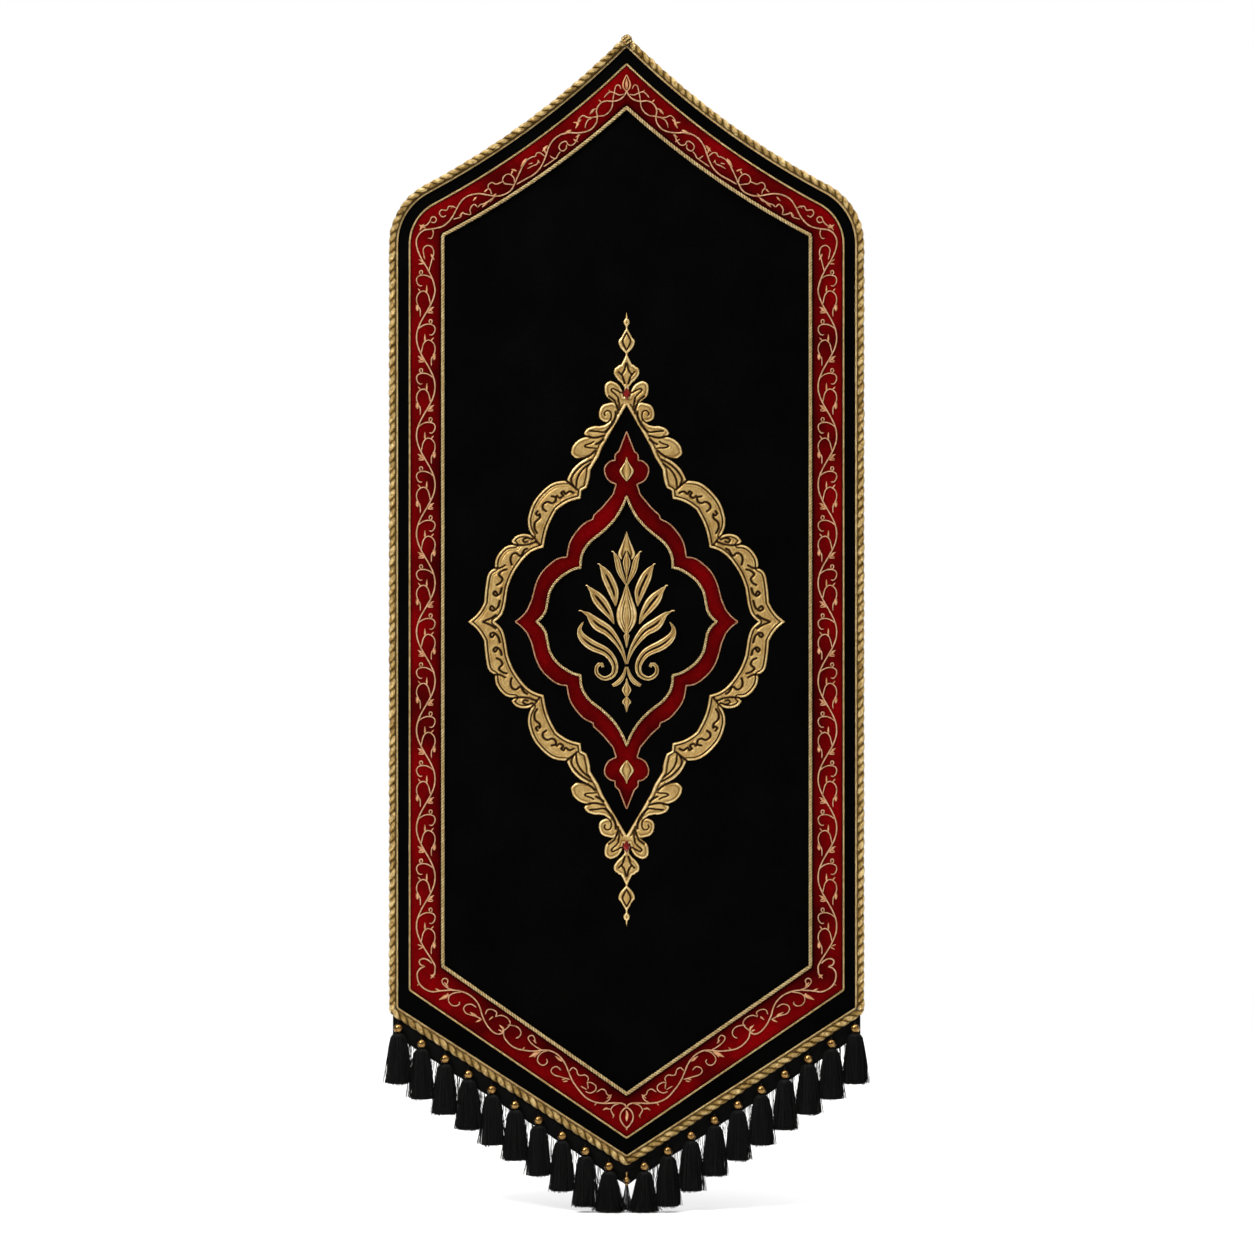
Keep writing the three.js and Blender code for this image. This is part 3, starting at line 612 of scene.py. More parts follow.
def embroidery(name, stops):
    """Satin stitches of gold thread, with painted shade where the tone says that they sink and painted
    highlight where the tone is high.
    """
    made, tree = material(name, Metallic=0.45, Roughness=0.38, Specular_IOR_Level=0.1)
    stitch = noise(tree, 900, 2, (1, 1, 0.4), 35)
    colour = ramp(tree, tone_of(tree), *stops)
    colour = shaded(tree, colour, noise(tree, 120, 3), 0.35, (0.8, 0.72, 0.62), 0.65)
    colour = shaded(tree, colour, stitch, 0.38, (0.72, 0.66, 0.56), 0.6, 0.8)
    return finished(made, tree, colour, stitch, 0.0005, 0.45)


def gold_cord(name, stops, turn, scale, metallic=0.5, roughness=0.4, patchy=(0.72, 0.62, 0.48)):
    """Gold thread wound round a cord: fine slanting stripes, painted shade where the strands meet, painted
    highlight where the tone is high, and a darker colour in random patches.
    """
    made, tree = material(name, Metallic=metallic, Roughness=roughness, Specular_IOR_Level=0.2)
    winding = stripes(tree, scale, (0, 0, turn))
    colour = ramp(tree, tone_of(tree), *stops)
    colour = shaded(tree, colour, noise(tree, 240, 3), 0.34, patchy, 0.6)
    colour = shaded(tree, colour, winding, 0.1, (0.68, 0.6, 0.48), 0.6, 0.8)
    return finished(made, tree, colour, winding, 0.0004, 0.8)


def silk(name, light):
    made, tree = material(name, Roughness=0.5, Specular_IOR_Level=0.12)
    fleck = noise(tree, 900, 2, (1, 1, 0.15))
    colour = ramp(tree, tone_of(tree), (0, grey(0.07 * light)), (0.5, grey(0.22 * light)), (1, grey(light)))
    colour = shaded(tree, colour, fleck, 0.3, grey(0.6), 0.7)
    return finished(made, tree, colour, fleck, 0.0003, 0.5)


def woven_strip(name):
    made, tree = material(name, Roughness=0.8, Specular_IOR_Level=0.08)
    rib = stripes(tree, 420, (0, 0, 0), "Object")
    return finished(made, tree, ramp(tree, rib, (0.1, grey(0.001)), (0.8, grey(0.004))), rib, 0.0004, 0.6)


def sateen(name):
    """Smooth black lining: fine slanting ribs under a soft gloss."""
    made, tree = material(name, Roughness=0.55, Specular_IOR_Level=0.25)
    rib = stripes(tree, 700, (0, 32, 0), "Object")
    colour = ramp(tree, noise(tree, 9, 4), (0.35, grey(0.0035)), (0.65, grey(0.007)))
    colour = shaded(tree, colour, rib, 0.1, grey(0.6), 0.8)
    colour = shaded(tree, colour, tone_of(tree), 0, grey(0.3), 1)
    return finished(made, tree, colour, rib, 0.0003, 0.4)


def brass(name):
    made, tree = material(name, Metallic=1.0)
    wear = noise(tree, 260, 3)
    rough = node(tree, "MapRange", {"To Min": 0.16, "To Max": 0.34}, Value=wear)
    tree.links.new(rough.outputs[0], shader_of(tree).inputs["Roughness"])
    colour = ramp(tree, wear, (0.32, (0.12, 0.062, 0.018)), (0.64, (0.36, 0.21, 0.07)))
    return finished(made, tree, colour, noise(tree, 700, 2), 0.0001, 0.3)


def stone(name):
    made, tree = material(name, Roughness=0.14, Coat_Weight=0.25, Coat_Roughness=0.04)
    colour = ramp(tree, noise(tree, 220, 2), (0.3, (0.05, 0.0, 0.0)), (0.7, (0.24, 0.003, 0.002)))
    return finished(made, tree, colour, noise(tree, 500, 1), 0.0001, 0.15)


# Colours by tone: low tones give painted shade and high tones painted highlight
GOLD_STOPS = [(0, (0.006, 0.002, 0.0004)), (0.25, (0.11, 0.06, 0.015)), (0.5, (0.43, 0.29, 0.105)),
              (0.75, (0.64, 0.46, 0.19)), (1, (0.9, 0.74, 0.42))]
ROPE_STOPS = [(0, (0.02, 0.01, 0.002)), (0.3, (0.2, 0.12, 0.03)), (0.65, (0.62, 0.44, 0.15)),
              (1, (0.95, 0.76, 0.38))]
CORD_STOPS = [(0, (0.07, 0.035, 0.01)), (0.3, (0.46, 0.3, 0.11)), (0.6, (0.84, 0.62, 0.28)),
              (1, (1.0, 0.86, 0.5))]
VINE_STOPS = [(0, (0.2, 0.05, 0.02)), (0.45, (0.62, 0.33, 0.19)), (1, (0.95, 0.6, 0.38))]

BLACK_VELVET = velvet("black_velvet_pile", grey(0.0005), grey(0.0013), 0.003, grey(0.5))
RED_VELVET = velvet("red_velvet_pile", (0.065, 0.0002, 0.0005), (0.21, 0.0004, 0.0015), 0.01,
                    (0.8, 0.03, 0.03))
GOLD_WORK = embroidery("gold_satin_stitch", GOLD_STOPS)
ROPE_GOLD = gold_cord("gold_rope_strands", ROPE_STOPS, 62, 800, 0.6, 0.32, (0.5, 0.39, 0.24))
CORD_GOLD = gold_cord("gold_cord_strands", CORD_STOPS, 58, 1500)
VINE_GOLD = gold_cord("gold_couched_thread", VINE_STOPS, 70, 1700, 0.2, 0.5)
BLACK_SILK = silk("black_silk_threads", 0.009)
PALE_SILK = silk("grey_silk_threads", 0.5)
STRIP_CLOTH = woven_strip("black_heading_tape")
LINING_CLOTH = sateen("black_lining_sateen")
BRASS = brass("aged_brass")
RED_STONE = stone("red_glass_stone")


# Cloth and border

LINING = {"inset": 7, "stitch": 8, "thread": 0.22}
# Inset from the cloth's edge and depth, from the back round to the face
CLOTH_TURNS = [(0.9, 1.0), (0.3, 0.85), (0.05, 0.45), (0, 0), (0.05, -0.45), (0.3, -0.85), (0.9, -1.0)]
# Inset from the lining's edge and height over the velvet's back: a fold, then the plain cloth
LINING_TURNS = [(0, -0.1), (0.05, 0.25), (0.5, 0.5), (2.2, 0.5), (3.2, 0.25), (5, 0.25)]
# Share of the way in, height, and tone: the tone paints shade at the band's edges, darkest towards the
# inner cord
PILE_ROWS = [(0, -0.25, 0.3), (0, 0.45, 0.4), (0.04, 0.85, 0.7), (0.15, 1, 0.95), (0.45, 1, 0.85),
             (0.72, 1, 0.5), (0.92, 0.9, 0.15), (1, 0.45, 0.0), (1, -0.25, 0)]
# Drop below the cloth's top edge and depth, once round the tape
TAPE_ROWS = [(1.2, 1), (0.2, 0.9), (0.2, -0.9), (1.2, -1), (28, -1), (STRIP["drop"], -0.4),
             (STRIP["drop"], 0.4), (28, 1)]
TAPE_STEPS = 60
# Between the border and the cords beside it
BORDER_GAP = 0.1


def filling(outline):
    return np.array(tessellate_polygon([[Vector((x, z, 0)) for x, z in outline]]))


def cloth():
    """The velvet panel, with its turned edge rounded."""
    piece = Piece()
    outline = without_doubles(banner_line(EDGE))
    across = ways_across(outline, True)
    rings = [at_depth(outline - across * inset, depth) for inset, depth in CLOTH_TURNS]
    fill = filling(outline)
    piece.add_rings(rings, 1.0, 1)
    piece.add(rings[-1], triangles=fill, tone=1.0)
    piece.add(rings[0], triangles=fill[:, ::-1], tone=1.0)
    return piece.build("velvet_cloth", BLACK_VELVET, "black_velvet", ["velvet_ground"], weld=True), outline


def lining():
    """A black lining on the back, its turned edge slip-stitched to the velvet."""
    piece = Piece()
    outline = without_doubles(banner_line(inside(EDGE, LINING["inset"])))
    across = ways_across(outline, True)
    rings = [at_depth(outline - across * inset, CLOTH_BACK + height) for inset, height in LINING_TURNS]
    piece.add_rings(rings, 1.0)
    piece.add(rings[-1], triangles=filling(rings[-1][:, ::2])[:, ::-1], tone=1.0)
    places = resampled(outline, LINING["stitch"], True)
    for place, out in zip(places, ways_across(places, True)):
        stitch = np.array([place - 1.0 * out, place + 0.3 * out, place + 1.2 * out])
        depth = np.array([0.5, 0.4, 0.0]) + CLOTH_BACK
        tube(piece, at_depth(stitch, depth), (0, 1, 0), LINING["thread"], 4, tone=0.2)
    return piece.build("back_lining", LINING_CLOTH, "black_silk")


def border():
    """The band of red velvet between the two cords."""
    piece = Piece()
    outer = banner_line(inside(OUTER_CORD_LINE, FINE_CORD_RADIUS + BORDER_GAP))
    inner = banner_line(inside(INNER_CORD_LINE, -THICK_CORD_RADIUS - BORDER_GAP))
    rings = [at_depth(outer + (inner - outer) * share, ON_CLOTH - up) for share, up, _ in PILE_ROWS]
    piece.add_rings(rings, np.repeat([tone for *_, tone in PILE_ROWS], len(outer)))
    return piece.build("red_velvet_border", RED_VELVET, "red_velvet", ["red_border"])


def heading():
    """The woven tape along the hem that carries the beads, ragged at its lower edge."""
    piece = Piece()
    slope = math.tan(math.radians(EDGE[4]))
    half = np.linspace(0, STRIP["reach"], TAPE_STEPS)
    xs = np.concatenate([np.linspace(-STRIP["reach"], 0, TAPE_STEPS), half[1:]])
    grid = []
    for drop, depth in TAPE_ROWS:
        ragged = 0.35 * np.sin(xs * 1.9) if drop == STRIP["drop"] else 0
        grid.append(np.stack([xs, np.full(len(xs), depth), EDGE[3] - drop + np.abs(xs) * slope - ragged], 1))
    rows, size = len(TAPE_ROWS), len(xs)
    ends = []
    for end, turn in ((0, 1), (size - 1, -1)):
        for i in range(1, rows - 1):
            ends.append([end, i * size + end, (i + 1) * size + end][::turn])
    piece.add(np.concatenate(grid), loft_faces(rows, size, False, True)[:, ::-1], ends)
    return piece.build("heading_tape", STRIP_CLOTH, "black_silk", ["heading_strip"])


# Cords and ropes

# Piece, node of the part, line, radius, lay, sides of a strand and its share of the radius
CORDS = [
    ("edge_cord_twist", "edge_cord", inside(EDGE, EDGE_CORD_INSET), 1.15, 5, 5, 0.72),
    ("outer_cord_twist", "border_outer_cord", OUTER_CORD_LINE, FINE_CORD_RADIUS, 6, 5, 0.72),
    ("inner_cord_twist", "border_inner_cord", INNER_CORD_LINE, 2.15, 7, 7, 0.6),
]
# The ropes lie against the cloth's edge, and a core, painted dark as the shade between the strands,
# closes the slit between them and the cloth
ROPE = {"radius": 4.1, "lay": 21, "plump": 0.74, "step": 1.2, "sides": 10, "core": 2.5, "core_shade_tone": 0.25}
ROPE_EDGE = {"out": 3.5, "core_out": 1.9, "depth": -3.2, "end": -1064.5}
ROPE_HEM = {"out": 3.8, "core_out": 1.9, "depth": -5.2, "core_depth": -3.6, "reach": 258.5, "bend": 4}
# Round the knot: the slant of each set of turns and how far each turn lies from its middle
KNOT_TURNS = [(0.6, (-3.6, 0, 3.6)), (-0.9, (-4.1, 4.1))]
KNOT_CORD = 1.5
KNOT_TAIL_RADIUS = 1.9
KNOT_TAIL = [(0, -2.4, 1.5), (0, -2.4, 0), (0, -2.3, -1.5), (0, -2.2, -3.0)]


def cords():
    made = []
    for name, node_name, line, radius, lay, sides, plump in CORDS:
        piece = Piece()
        twisted(piece, banner_line(line), ON_CLOTH - radius, radius, lay, 1.0, sides, True, plump)
        made.append(piece.build(name, CORD_GOLD, "gold_thread", [node_name]))
    return made


def rope(piece, path, core_path, depth, core_depth, facing):
    strands = [ROPE[name] for name in ("radius", "lay", "step", "sides")]
    twisted(piece, path, depth, *strands, False, ROPE["plump"], facing=facing)
    core = resampled(core_path, 5)
    reach = ROPE["core"] * rounding(len(core), 2)
    tube(piece, at_depth(core, core_depth), TO_FRONT, reach, 8, tone=ROPE["core_shade_tone"])


def edge_path(out, side):
    right = right_half(inside(EDGE, -out))
    right[-1, 1] = ROPE_EDGE["end"]
    return flipped(resampled(right, 1.0), side)


def edge_rope():
    """A rope down each side, from the point, where the knot hides their ends."""
    piece = Piece()
    for side in (1, -1):
        path, core_path = edge_path(ROPE_EDGE["out"], side)[4:], edge_path(ROPE_EDGE["core_out"], side)
        rope(piece, path, core_path, ROPE_EDGE["depth"], ROPE_EDGE["depth"], 90 - 30 * side)
    knot(piece)
    return piece.build("edge_rope_twist", ROPE_GOLD, "gold_thread", ["edge_rope"])


def ring(count, half_width, half_depth):
    angles = np.linspace(0, 2 * np.pi, count, endpoint=False)
    return np.stack([half_width * np.cos(angles), half_depth * np.sin(angles)], 1)


def knot(piece):
    """A round knot at the point: a ball wrapped in slanting turns of cord."""
    middle = np.array([0, KNOT["depth"], KNOT["height"]])
    ball = KNOT["radius"] - 0.6 * KNOT_CORD
    deep = KNOT["half_depth"] / KNOT["radius"]
    turn = np.linspace(0, 2 * np.pi, 30, endpoint=False)[:, None]
    for lean, offsets in KNOT_TURNS:
        way = np.array([math.cos(lean), 0, math.sin(lean)])
        aside = np.array([-math.sin(lean), 0, math.cos(lean)])
        for offset in offsets:
            reach = math.sqrt(ball ** 2 - offset ** 2)
            out = np.cos(turn) * way + np.sin(turn) * np.array([0, deep, 0])
            tube(piece, middle + offset * aside + reach * out, out, KNOT_CORD, 8, True, 0.95, 1.4)
    # The ball under the turns is painted dark, as the shade between them
    rings = []
    for share in np.linspace(-1, 1, 9):
        reach = math.sqrt(max(0.001, 1 - share ** 2)) * ball
        flat = ring(16, reach, reach)
        rings.append(middle + at_depth(flat, share * ball * deep))
    piece.add_rings(rings, 0.1)
    tube(piece, KNOT_TAIL, TO_FRONT, KNOT_TAIL_RADIUS * rounding(4, 1), 8, tone=0.15)


def hem_path(out):
    tip = inside(EDGE, -out)[3]
    xs = np.linspace(-ROPE_HEM["reach"], ROPE_HEM["reach"], 511)
    bend = ROPE_HEM["bend"]
    rounded = np.where(np.abs(xs) < bend, (xs ** 2 + bend ** 2) / (2 * bend), np.abs(xs))
    return np.stack([xs, tip + rounded * math.tan(math.radians(EDGE[4]))], 1)


def hem_rope():
    piece = Piece()
    path, core_path = hem_path(ROPE_HEM["out"]), hem_path(ROPE_HEM["core_out"])
    rope(piece, path, core_path, ROPE_HEM["depth"], ROPE_HEM["core_depth"], 120)
    return piece.build("hem_rope_twist", ROPE_GOLD, "gold_thread", ["hem_rope"])


# Vine on the border: a waving stem with curls, arches, leaves and buds, charted on its right half

VINE_DEPTH = ON_CLOTH - 1.0
STEM_RADIUS = 0.85
BRANCH_RADIUS = 0.68
WAVE = 107.8
BAND_MIDDLE = 220.7
BAND_SWING = 10.2
FIRST_SIDE_SWING = -323.4
SIDE_SWINGS = 14
SLOPE_STEM = [
    (0.2, -51), (0.9, -54.4), (4.1, -59), (9.3, -62.4), (15.6, -63.6), (21.6, -63.1), (27.2, -64.6),
    (31.5, -69.3), (33.2, -74.4), (32.2, -80.2), (33.2, -86.9), (38.3, -93.7), (45.5, -97.1), (54.1, -98.3),
    (63, -98), (71.2, -99.7), (78.9, -104.5), (84.9, -112.5), (88.3, -122), (91.7, -130.8), (96.2, -138.4),
    (102.8, -144.5), (111.4, -149.3), (121.1, -154.8)]
SHOULDER_STEM = [
    (108.8, -127.1), (113.6, -133.9), (118.7, -144.2), (122.9, -153.6), (126.8, -161), (133.6, -165.6),
    (143, -167.8), (153.3, -166.4), (162.7, -165.1), (172.1, -166.8), (179.8, -171.2), (185.5, -179.3),
    (190.6, -189.2), (196.1, -196.4), (202.9, -201.2), (212.3, -203.6), (221.7, -204.9), (227.7, -209.2),
    (231.1, -216.9), (229.6, -227.2), (224.8, -237.9), (218.8, -247.7), (213.4, -259)]
SIDE_END = [(211.4, -1012), (210.6, -1018), (211.2, -1024.5)]
CORNER_STEM = [
    (213.3, -1011.6), (218.5, -1007.2), (223.6, -1005.8), (227.7, -1007.9), (226.8, -1012.3),
    (221.9, -1014.7), (226.2, -1016.1), (229.9, -1021.2), (229.7, -1028.4), (226.7, -1034.9),
    (220.5, -1039.9), (213.3, -1042.3), (206.5, -1041.4), (197.9, -1040.7), (189.3, -1040.5),
    (180.8, -1042.1), (172.2, -1046), (165, -1052.7), (161.1, -1060.1), (158.9, -1067.8), (155.5, -1075.5),
    (152.2, -1080.8), (146.9, -1086.3), (141.1, -1088.8), (136.2, -1087), (134.2, -1083.4)]
HEM_STEM = [
    (136.3, -1081.5), (135.6, -1086.6), (133.9, -1093.4), (128.1, -1100.3), (120.9, -1104.6),
    (112.3, -1106.6), (102, -1107.5), (93.5, -1106.5), (84.9, -1106.8), (76.7, -1110.6), (70.6, -1116.6),
    (66.8, -1122.9), (63.5, -1131.1), (59.3, -1140.5), (52.7, -1149.9), (44.7, -1158.5), (35.3, -1163.3),
    (25, -1164.8), (14.7, -1164.5), (6.2, -1164.7), (1.6, -1166.6), (0.2, -1170)]
BRANCHES = [
    # On the slope, from the top point to the shoulder
    [(6.2, -50.1), (8.2, -45.8), (11.7, -46.7), (13.7, -54.4), (15.1, -62.4), (16.1, -69.8), (19.5, -75.4),
     (25, -79.2), (31, -79.9), (37, -81.2), (43, -81.2), (48.1, -79.2), (52, -82.3), (54.1, -86.9)],
    [(2.8, -55.6), (7.9, -56.6), (13.4, -54.4), (17.8, -53), (21.6, -55.6), (25, -59.7)],
    [(32.9, -71.5), (37.3, -73), (40.4, -77.1)],
    [(37.3, -81.8), (41.8, -83.6), (44.5, -87.7), (45.7, -92.9)],
    [(52.7, -99), (54.4, -105.2), (58.9, -111.3), (64, -111.3), (66.9, -107.4), (72.6, -110), (74.3, -114.8),
     (70.8, -118.2), (66.4, -115.5), (66.1, -110.8)],
    [(72.6, -118.5), (75.5, -122.3), (77.7, -126.4), (81.1, -125.7), (84.4, -123.3)],
    [(78.3, -126.6), (84.9, -131.2), (91.4, -135.6)],
    [(89.4, -124.6), (93.1, -121.4), (95.5, -119.9), (98.9, -120.6), (100.6, -124), (104, -124.7),
     (108.1, -127.1), (111.2, -129.6)],
    [(96.5, -128.5), (98.6, -132.6), (103, -134.3), (109.2, -137.7)],
    [(103, -131.2), (108.1, -132.6)],
    [(123.2, -153.1), (123.7, -148.3), (126.6, -144.7), (130.7, -143.5), (135, -146.2), (136.2, -150.7),
     (133.8, -154.1), (129.4, -154.6), (124.2, -155.4)],
    [(136, -151.6), (140, -153.6), (143.9, -154.5), (147.8, -152.7), (151.6, -154.8), (152.1, -158.7),
     (149.5, -161.6), (148.4, -166)],
    [(144.4, -168.4), (150.7, -172.4), (154.2, -175.3), (160.5, -177), (163.6, -180.1)],
    [(163.6, -180.1), (167.7, -176.7), (172.1, -182.2), (171.4, -187.8), (177.3, -187.3), (181, -186.1),
     (182.7, -190.7), (191, -193.2)],
    [(187.4, -180.8), (190.6, -179.3), (195.4, -179.1), (197.8, -183.2), (203.8, -182.9), (205.7, -187),
     (202.2, -190.6), (198.1, -188.7)],
    [(226.9, -201.6), (220.4, -199.8), (216.3, -195.5), (214.5, -191.2), (210.8, -190.7), (209.1, -193.8),
     (211.5, -196.9), (215.9, -195.9)],
    [(213.5, -203.7), (212.5, -208.9), (214.5, -214), (218, -214)],
    [(217.3, -250.5), (214.2, -238.3), (212, -230.1), (213.9, -223.9), (219.3, -222), (223.4, -226),
     (222.8, -233.5)],
    # On the hem, from the corner to the point
    [(189.3, -1040.5), (196.2, -1038.3), (201.3, -1034.2), (203, -1030.1), (200.1, -1027.4), (196.5, -1029.4),
     (197.6, -1034.6)],
    [(180.8, -1042.4), (189.3, -1043.5), (194.5, -1046.4), (195.9, -1051.7), (192.8, -1056.5),
     (187.6, -1057.8), (183.9, -1055.8), (183.9, -1052.7)],
    [(165, -1059.5), (170.5, -1056), (176.5, -1056.8), (179.1, -1060.9), (176.7, -1065.7), (171.2, -1067.8),
     (165, -1069.5), (158.5, -1073.2)],
    [(155.4, -1067.4), (153.1, -1062.3), (147.6, -1061.8), (142.8, -1065), (144.2, -1069.8)],
    [(144.2, -1069.8), (138.3, -1068.1), (132.2, -1070.3), (128.1, -1075.5), (129.4, -1080.1),
     (134.9, -1084.9)],
    [(131.1, -1078.9), (124.6, -1079.4), (119.2, -1081.6), (116.1, -1086.6), (117.8, -1091.4),
     (122.2, -1093.4)],
    [(93.5, -1106.1), (100.3, -1102.3), (106.2, -1097.2), (108.2, -1092.4), (104.1, -1090), (101.2, -1093.1),
     (100.7, -1098.6)],
    [(84.9, -1106.8), (92.1, -1108.5), (96.9, -1113), (97.9, -1118.3), (94.3, -1122.5), (89.7, -1122.5),
     (87, -1119.1), (88.4, -1116)],
    [(72.1, -1128.7), (76.4, -1124.6), (81.5, -1126), (82.9, -1130.2), (79.1, -1133.8), (72.9, -1135.6),
     (67.5, -1137.3), (62, -1138.7)],
    [(63.4, -1130), (59.3, -1125.6), (55, -1128.2), (53.8, -1132.8), (50.4, -1134.2), (45.6, -1133.7),
     (42.1, -1137.1), (43.2, -1140.9)],
    [(44.2, -1141.7), (38.7, -1142.2), (33.9, -1145.8), (34.6, -1150.8), (40.4, -1153.5), (45.6, -1151.6)],
    [(43.2, -1140.8), (42.1, -1149.2)],
    [(43.4, -1150), (50.7, -1145.8)],
    [(33, -1152.7), (27.6, -1149.2), (23.3, -1151), (21.6, -1155.1), (17.5, -1157.1), (20.2, -1161.6),
     (25.4, -1164.7)],
    [(7.6, -1165), (13.9, -1167.1), (17.3, -1171.5), (15.8, -1175.6), (13.7, -1179.7)],
    [(17.1, -1171.2), (25, -1170.5)],
]
# Buds and small leaves, each from its foot or side to its tip: (x, z, x, z)
BUDS = [
    (16.4, -54.2, 19.9, -51.1), (27.6, -64.6, 30.8, -61.7), (35.6, -72, 40.7, -77.8),
    (50, -83.3, 55.8, -88.1), (52.4, -86.4, 56.1, -93.2), (54.4, -86.7, 58.9, -86.7),
    (60.6, -95, 69.8, -100.1), (51.2, -100.1, 56.1, -103.1), (53.4, -107.9, 58.5, -105.2),
    (86.9, -112, 92.7, -118.5), (91.7, -114.4, 88.6, -120.9), (110.2, -126.4, 116.4, -136),
    (120.8, -140.1, 127, -138), (124.9, -139.4, 127.3, -144.5), (138.2, -152.4, 142.4, -154.8),
    (152.6, -159.6, 156.7, -163.4), (146.8, -170.2, 150.6, -174.3), (152.4, -173.3, 158.8, -179.8),
    (169.7, -177.7, 172.5, -182.9), (164.9, -168.5, 169, -172.9), (143.4, -165.1, 147.8, -168.5),
    (221, -203, 228.2, -199.3), (223.1, -198.6, 227.5, -205.4), (215.2, -231.4, 211.5, -237.9),
    (223.1, -232.5, 221.7, -237.3), (179.3, -185.2, 183.8, -189.4), (190.3, -178.1, 193, -181.1),
    (97.9, -127.8, 95.5, -131.2), (210.9, -1022.2, 215.4, -1027.7), (215.4, -1023.6, 211.3, -1026.7),
    (204.4, -1042.1, 210.2, -1038.7), (196.2, -1037, 200.6, -1031.8), (194.5, -1045.5, 206.1, -1051),
    (196.2, -1043.8, 199.6, -1049.3), (164, -1070.2, 172.2, -1064.7), (159.6, -1072.6, 165.7, -1075.6),
    (146.9, -1069.5, 151.3, -1073.2), (134.6, -1083.5, 140, -1078.7), (136.3, -1086.3, 141.1, -1083.9),
    (115.1, -1106.1, 112, -1103.4), (99.3, -1098.9, 102.7, -1095.2), (94.5, -1107.5, 107.2, -1114),
    (98.6, -1110.6, 101.4, -1114.3), (70.6, -1118.8, 78.4, -1113), (66.8, -1137.3, 71.2, -1139.3),
    (64.7, -1140.3, 69.9, -1141), (16.5, -1155.4, 21.6, -1159.5), (13.7, -1177, 15.1, -1181.1),
    (21.3, -1169.4, 26, -1172.5), (32.9, -1164, 35.3, -1167.4), (226.6, -1033.4, 230.4, -1035.2),
]

# One sprig beside the stem on the side, from where the stem swings furthest: (down, out), with the
# band's outer side as out. It lies on the inner side, and the next half wave has it mirrored.
SPRIG_THREADS = [
    [(-9.2, 8.6), (-12, 5.7), (-14.5, 0.6), (-14.8, -4.4), (-13.3, -8.6), (-9.9, -10.2), (-5.7, -9.2),
     (-3.0, -6.5), (-3.6, -3.5)],
    [(-14.8, -4.4), (-17, -6.8), (-19.6, -6.4), (-19.8, -4.2), (-17.6, -3.6), (-15.4, -4.6)],
    [(19.8, -7.6), (22.6, -6.4), (26.6, -6), (31, -6.2)],
    [(17.9, 5.4), (12.6, 4.2), (7.6, 2.9), (4.0, 0.6), (2.5, -2.5), (3.8, -6.3), (7.3, -9.2), (12, -10.2),
     (16.4, -9.5), (19.8, -7.6)],
]
SPRIG_BUDS = [
    (4.6, 0.9, -3.8, 1.1), (3.4, -5.6, -0.2, -8.6), (-27.6, -0.6, -32.2, -7.6), (-27.8, -1.4, -27.2, -7.8),
    (22.4, 2.8, 20.2, 9), (22.8, 3, 25.6, 8), (18.6, -7.6, 18.4, -11)]
SPRIG_LEAF = [(18.6, -8.6, 1.2), (20.4, -9.0, 4.2), (22.4, -9.2, 3.6), (24.4, -9.3, 0.9)]


# Flames at both points, as rows of (x, z, width), and the loop at the bottom point
TOP_FLAME_SIDE = [(0.2, -34.5, 0.8), (2.2, -39, 1.4), (3.9, -44, 1.8), (3.4, -48.5, 1.6), (0.8, -51.8, 1.2)]
TOP_FLAME = [(0, -38.5, 0.6), (0, -43, 2.6), (0, -46.5, 3), (0, -50, 1.4)]
LOOP = [(0, -1169.5), (4.8, -1173), (7.2, -1179), (5.6, -1185.4), (0, -1191.4), (-5.6, -1185.4),
        (-7.2, -1179), (-4.8, -1173)]
LOOP_FLAME = [(-0.4, -1172.8, 0.8), (0.6, -1176.6, 3.0), (0.2, -1180.6, 3.4), (0, -1184.6, 0.8)]
LOOP_BUD = [(0, -1190.4, 1), (0, -1192.6, 2.6), (0, -1194.4, 0.8)]


def side_stem():
    """The stem down the side, a wave between the shoulder and the corner."""
    z = np.arange(-270, -1000, -6.0)
    x = BAND_MIDDLE + BAND_SWING * np.cos(2 * np.pi * (z - FIRST_SIDE_SWING) / WAVE)
    return np.concatenate([SHOULDER_STEM, np.stack([x, z], 1), SIDE_END])


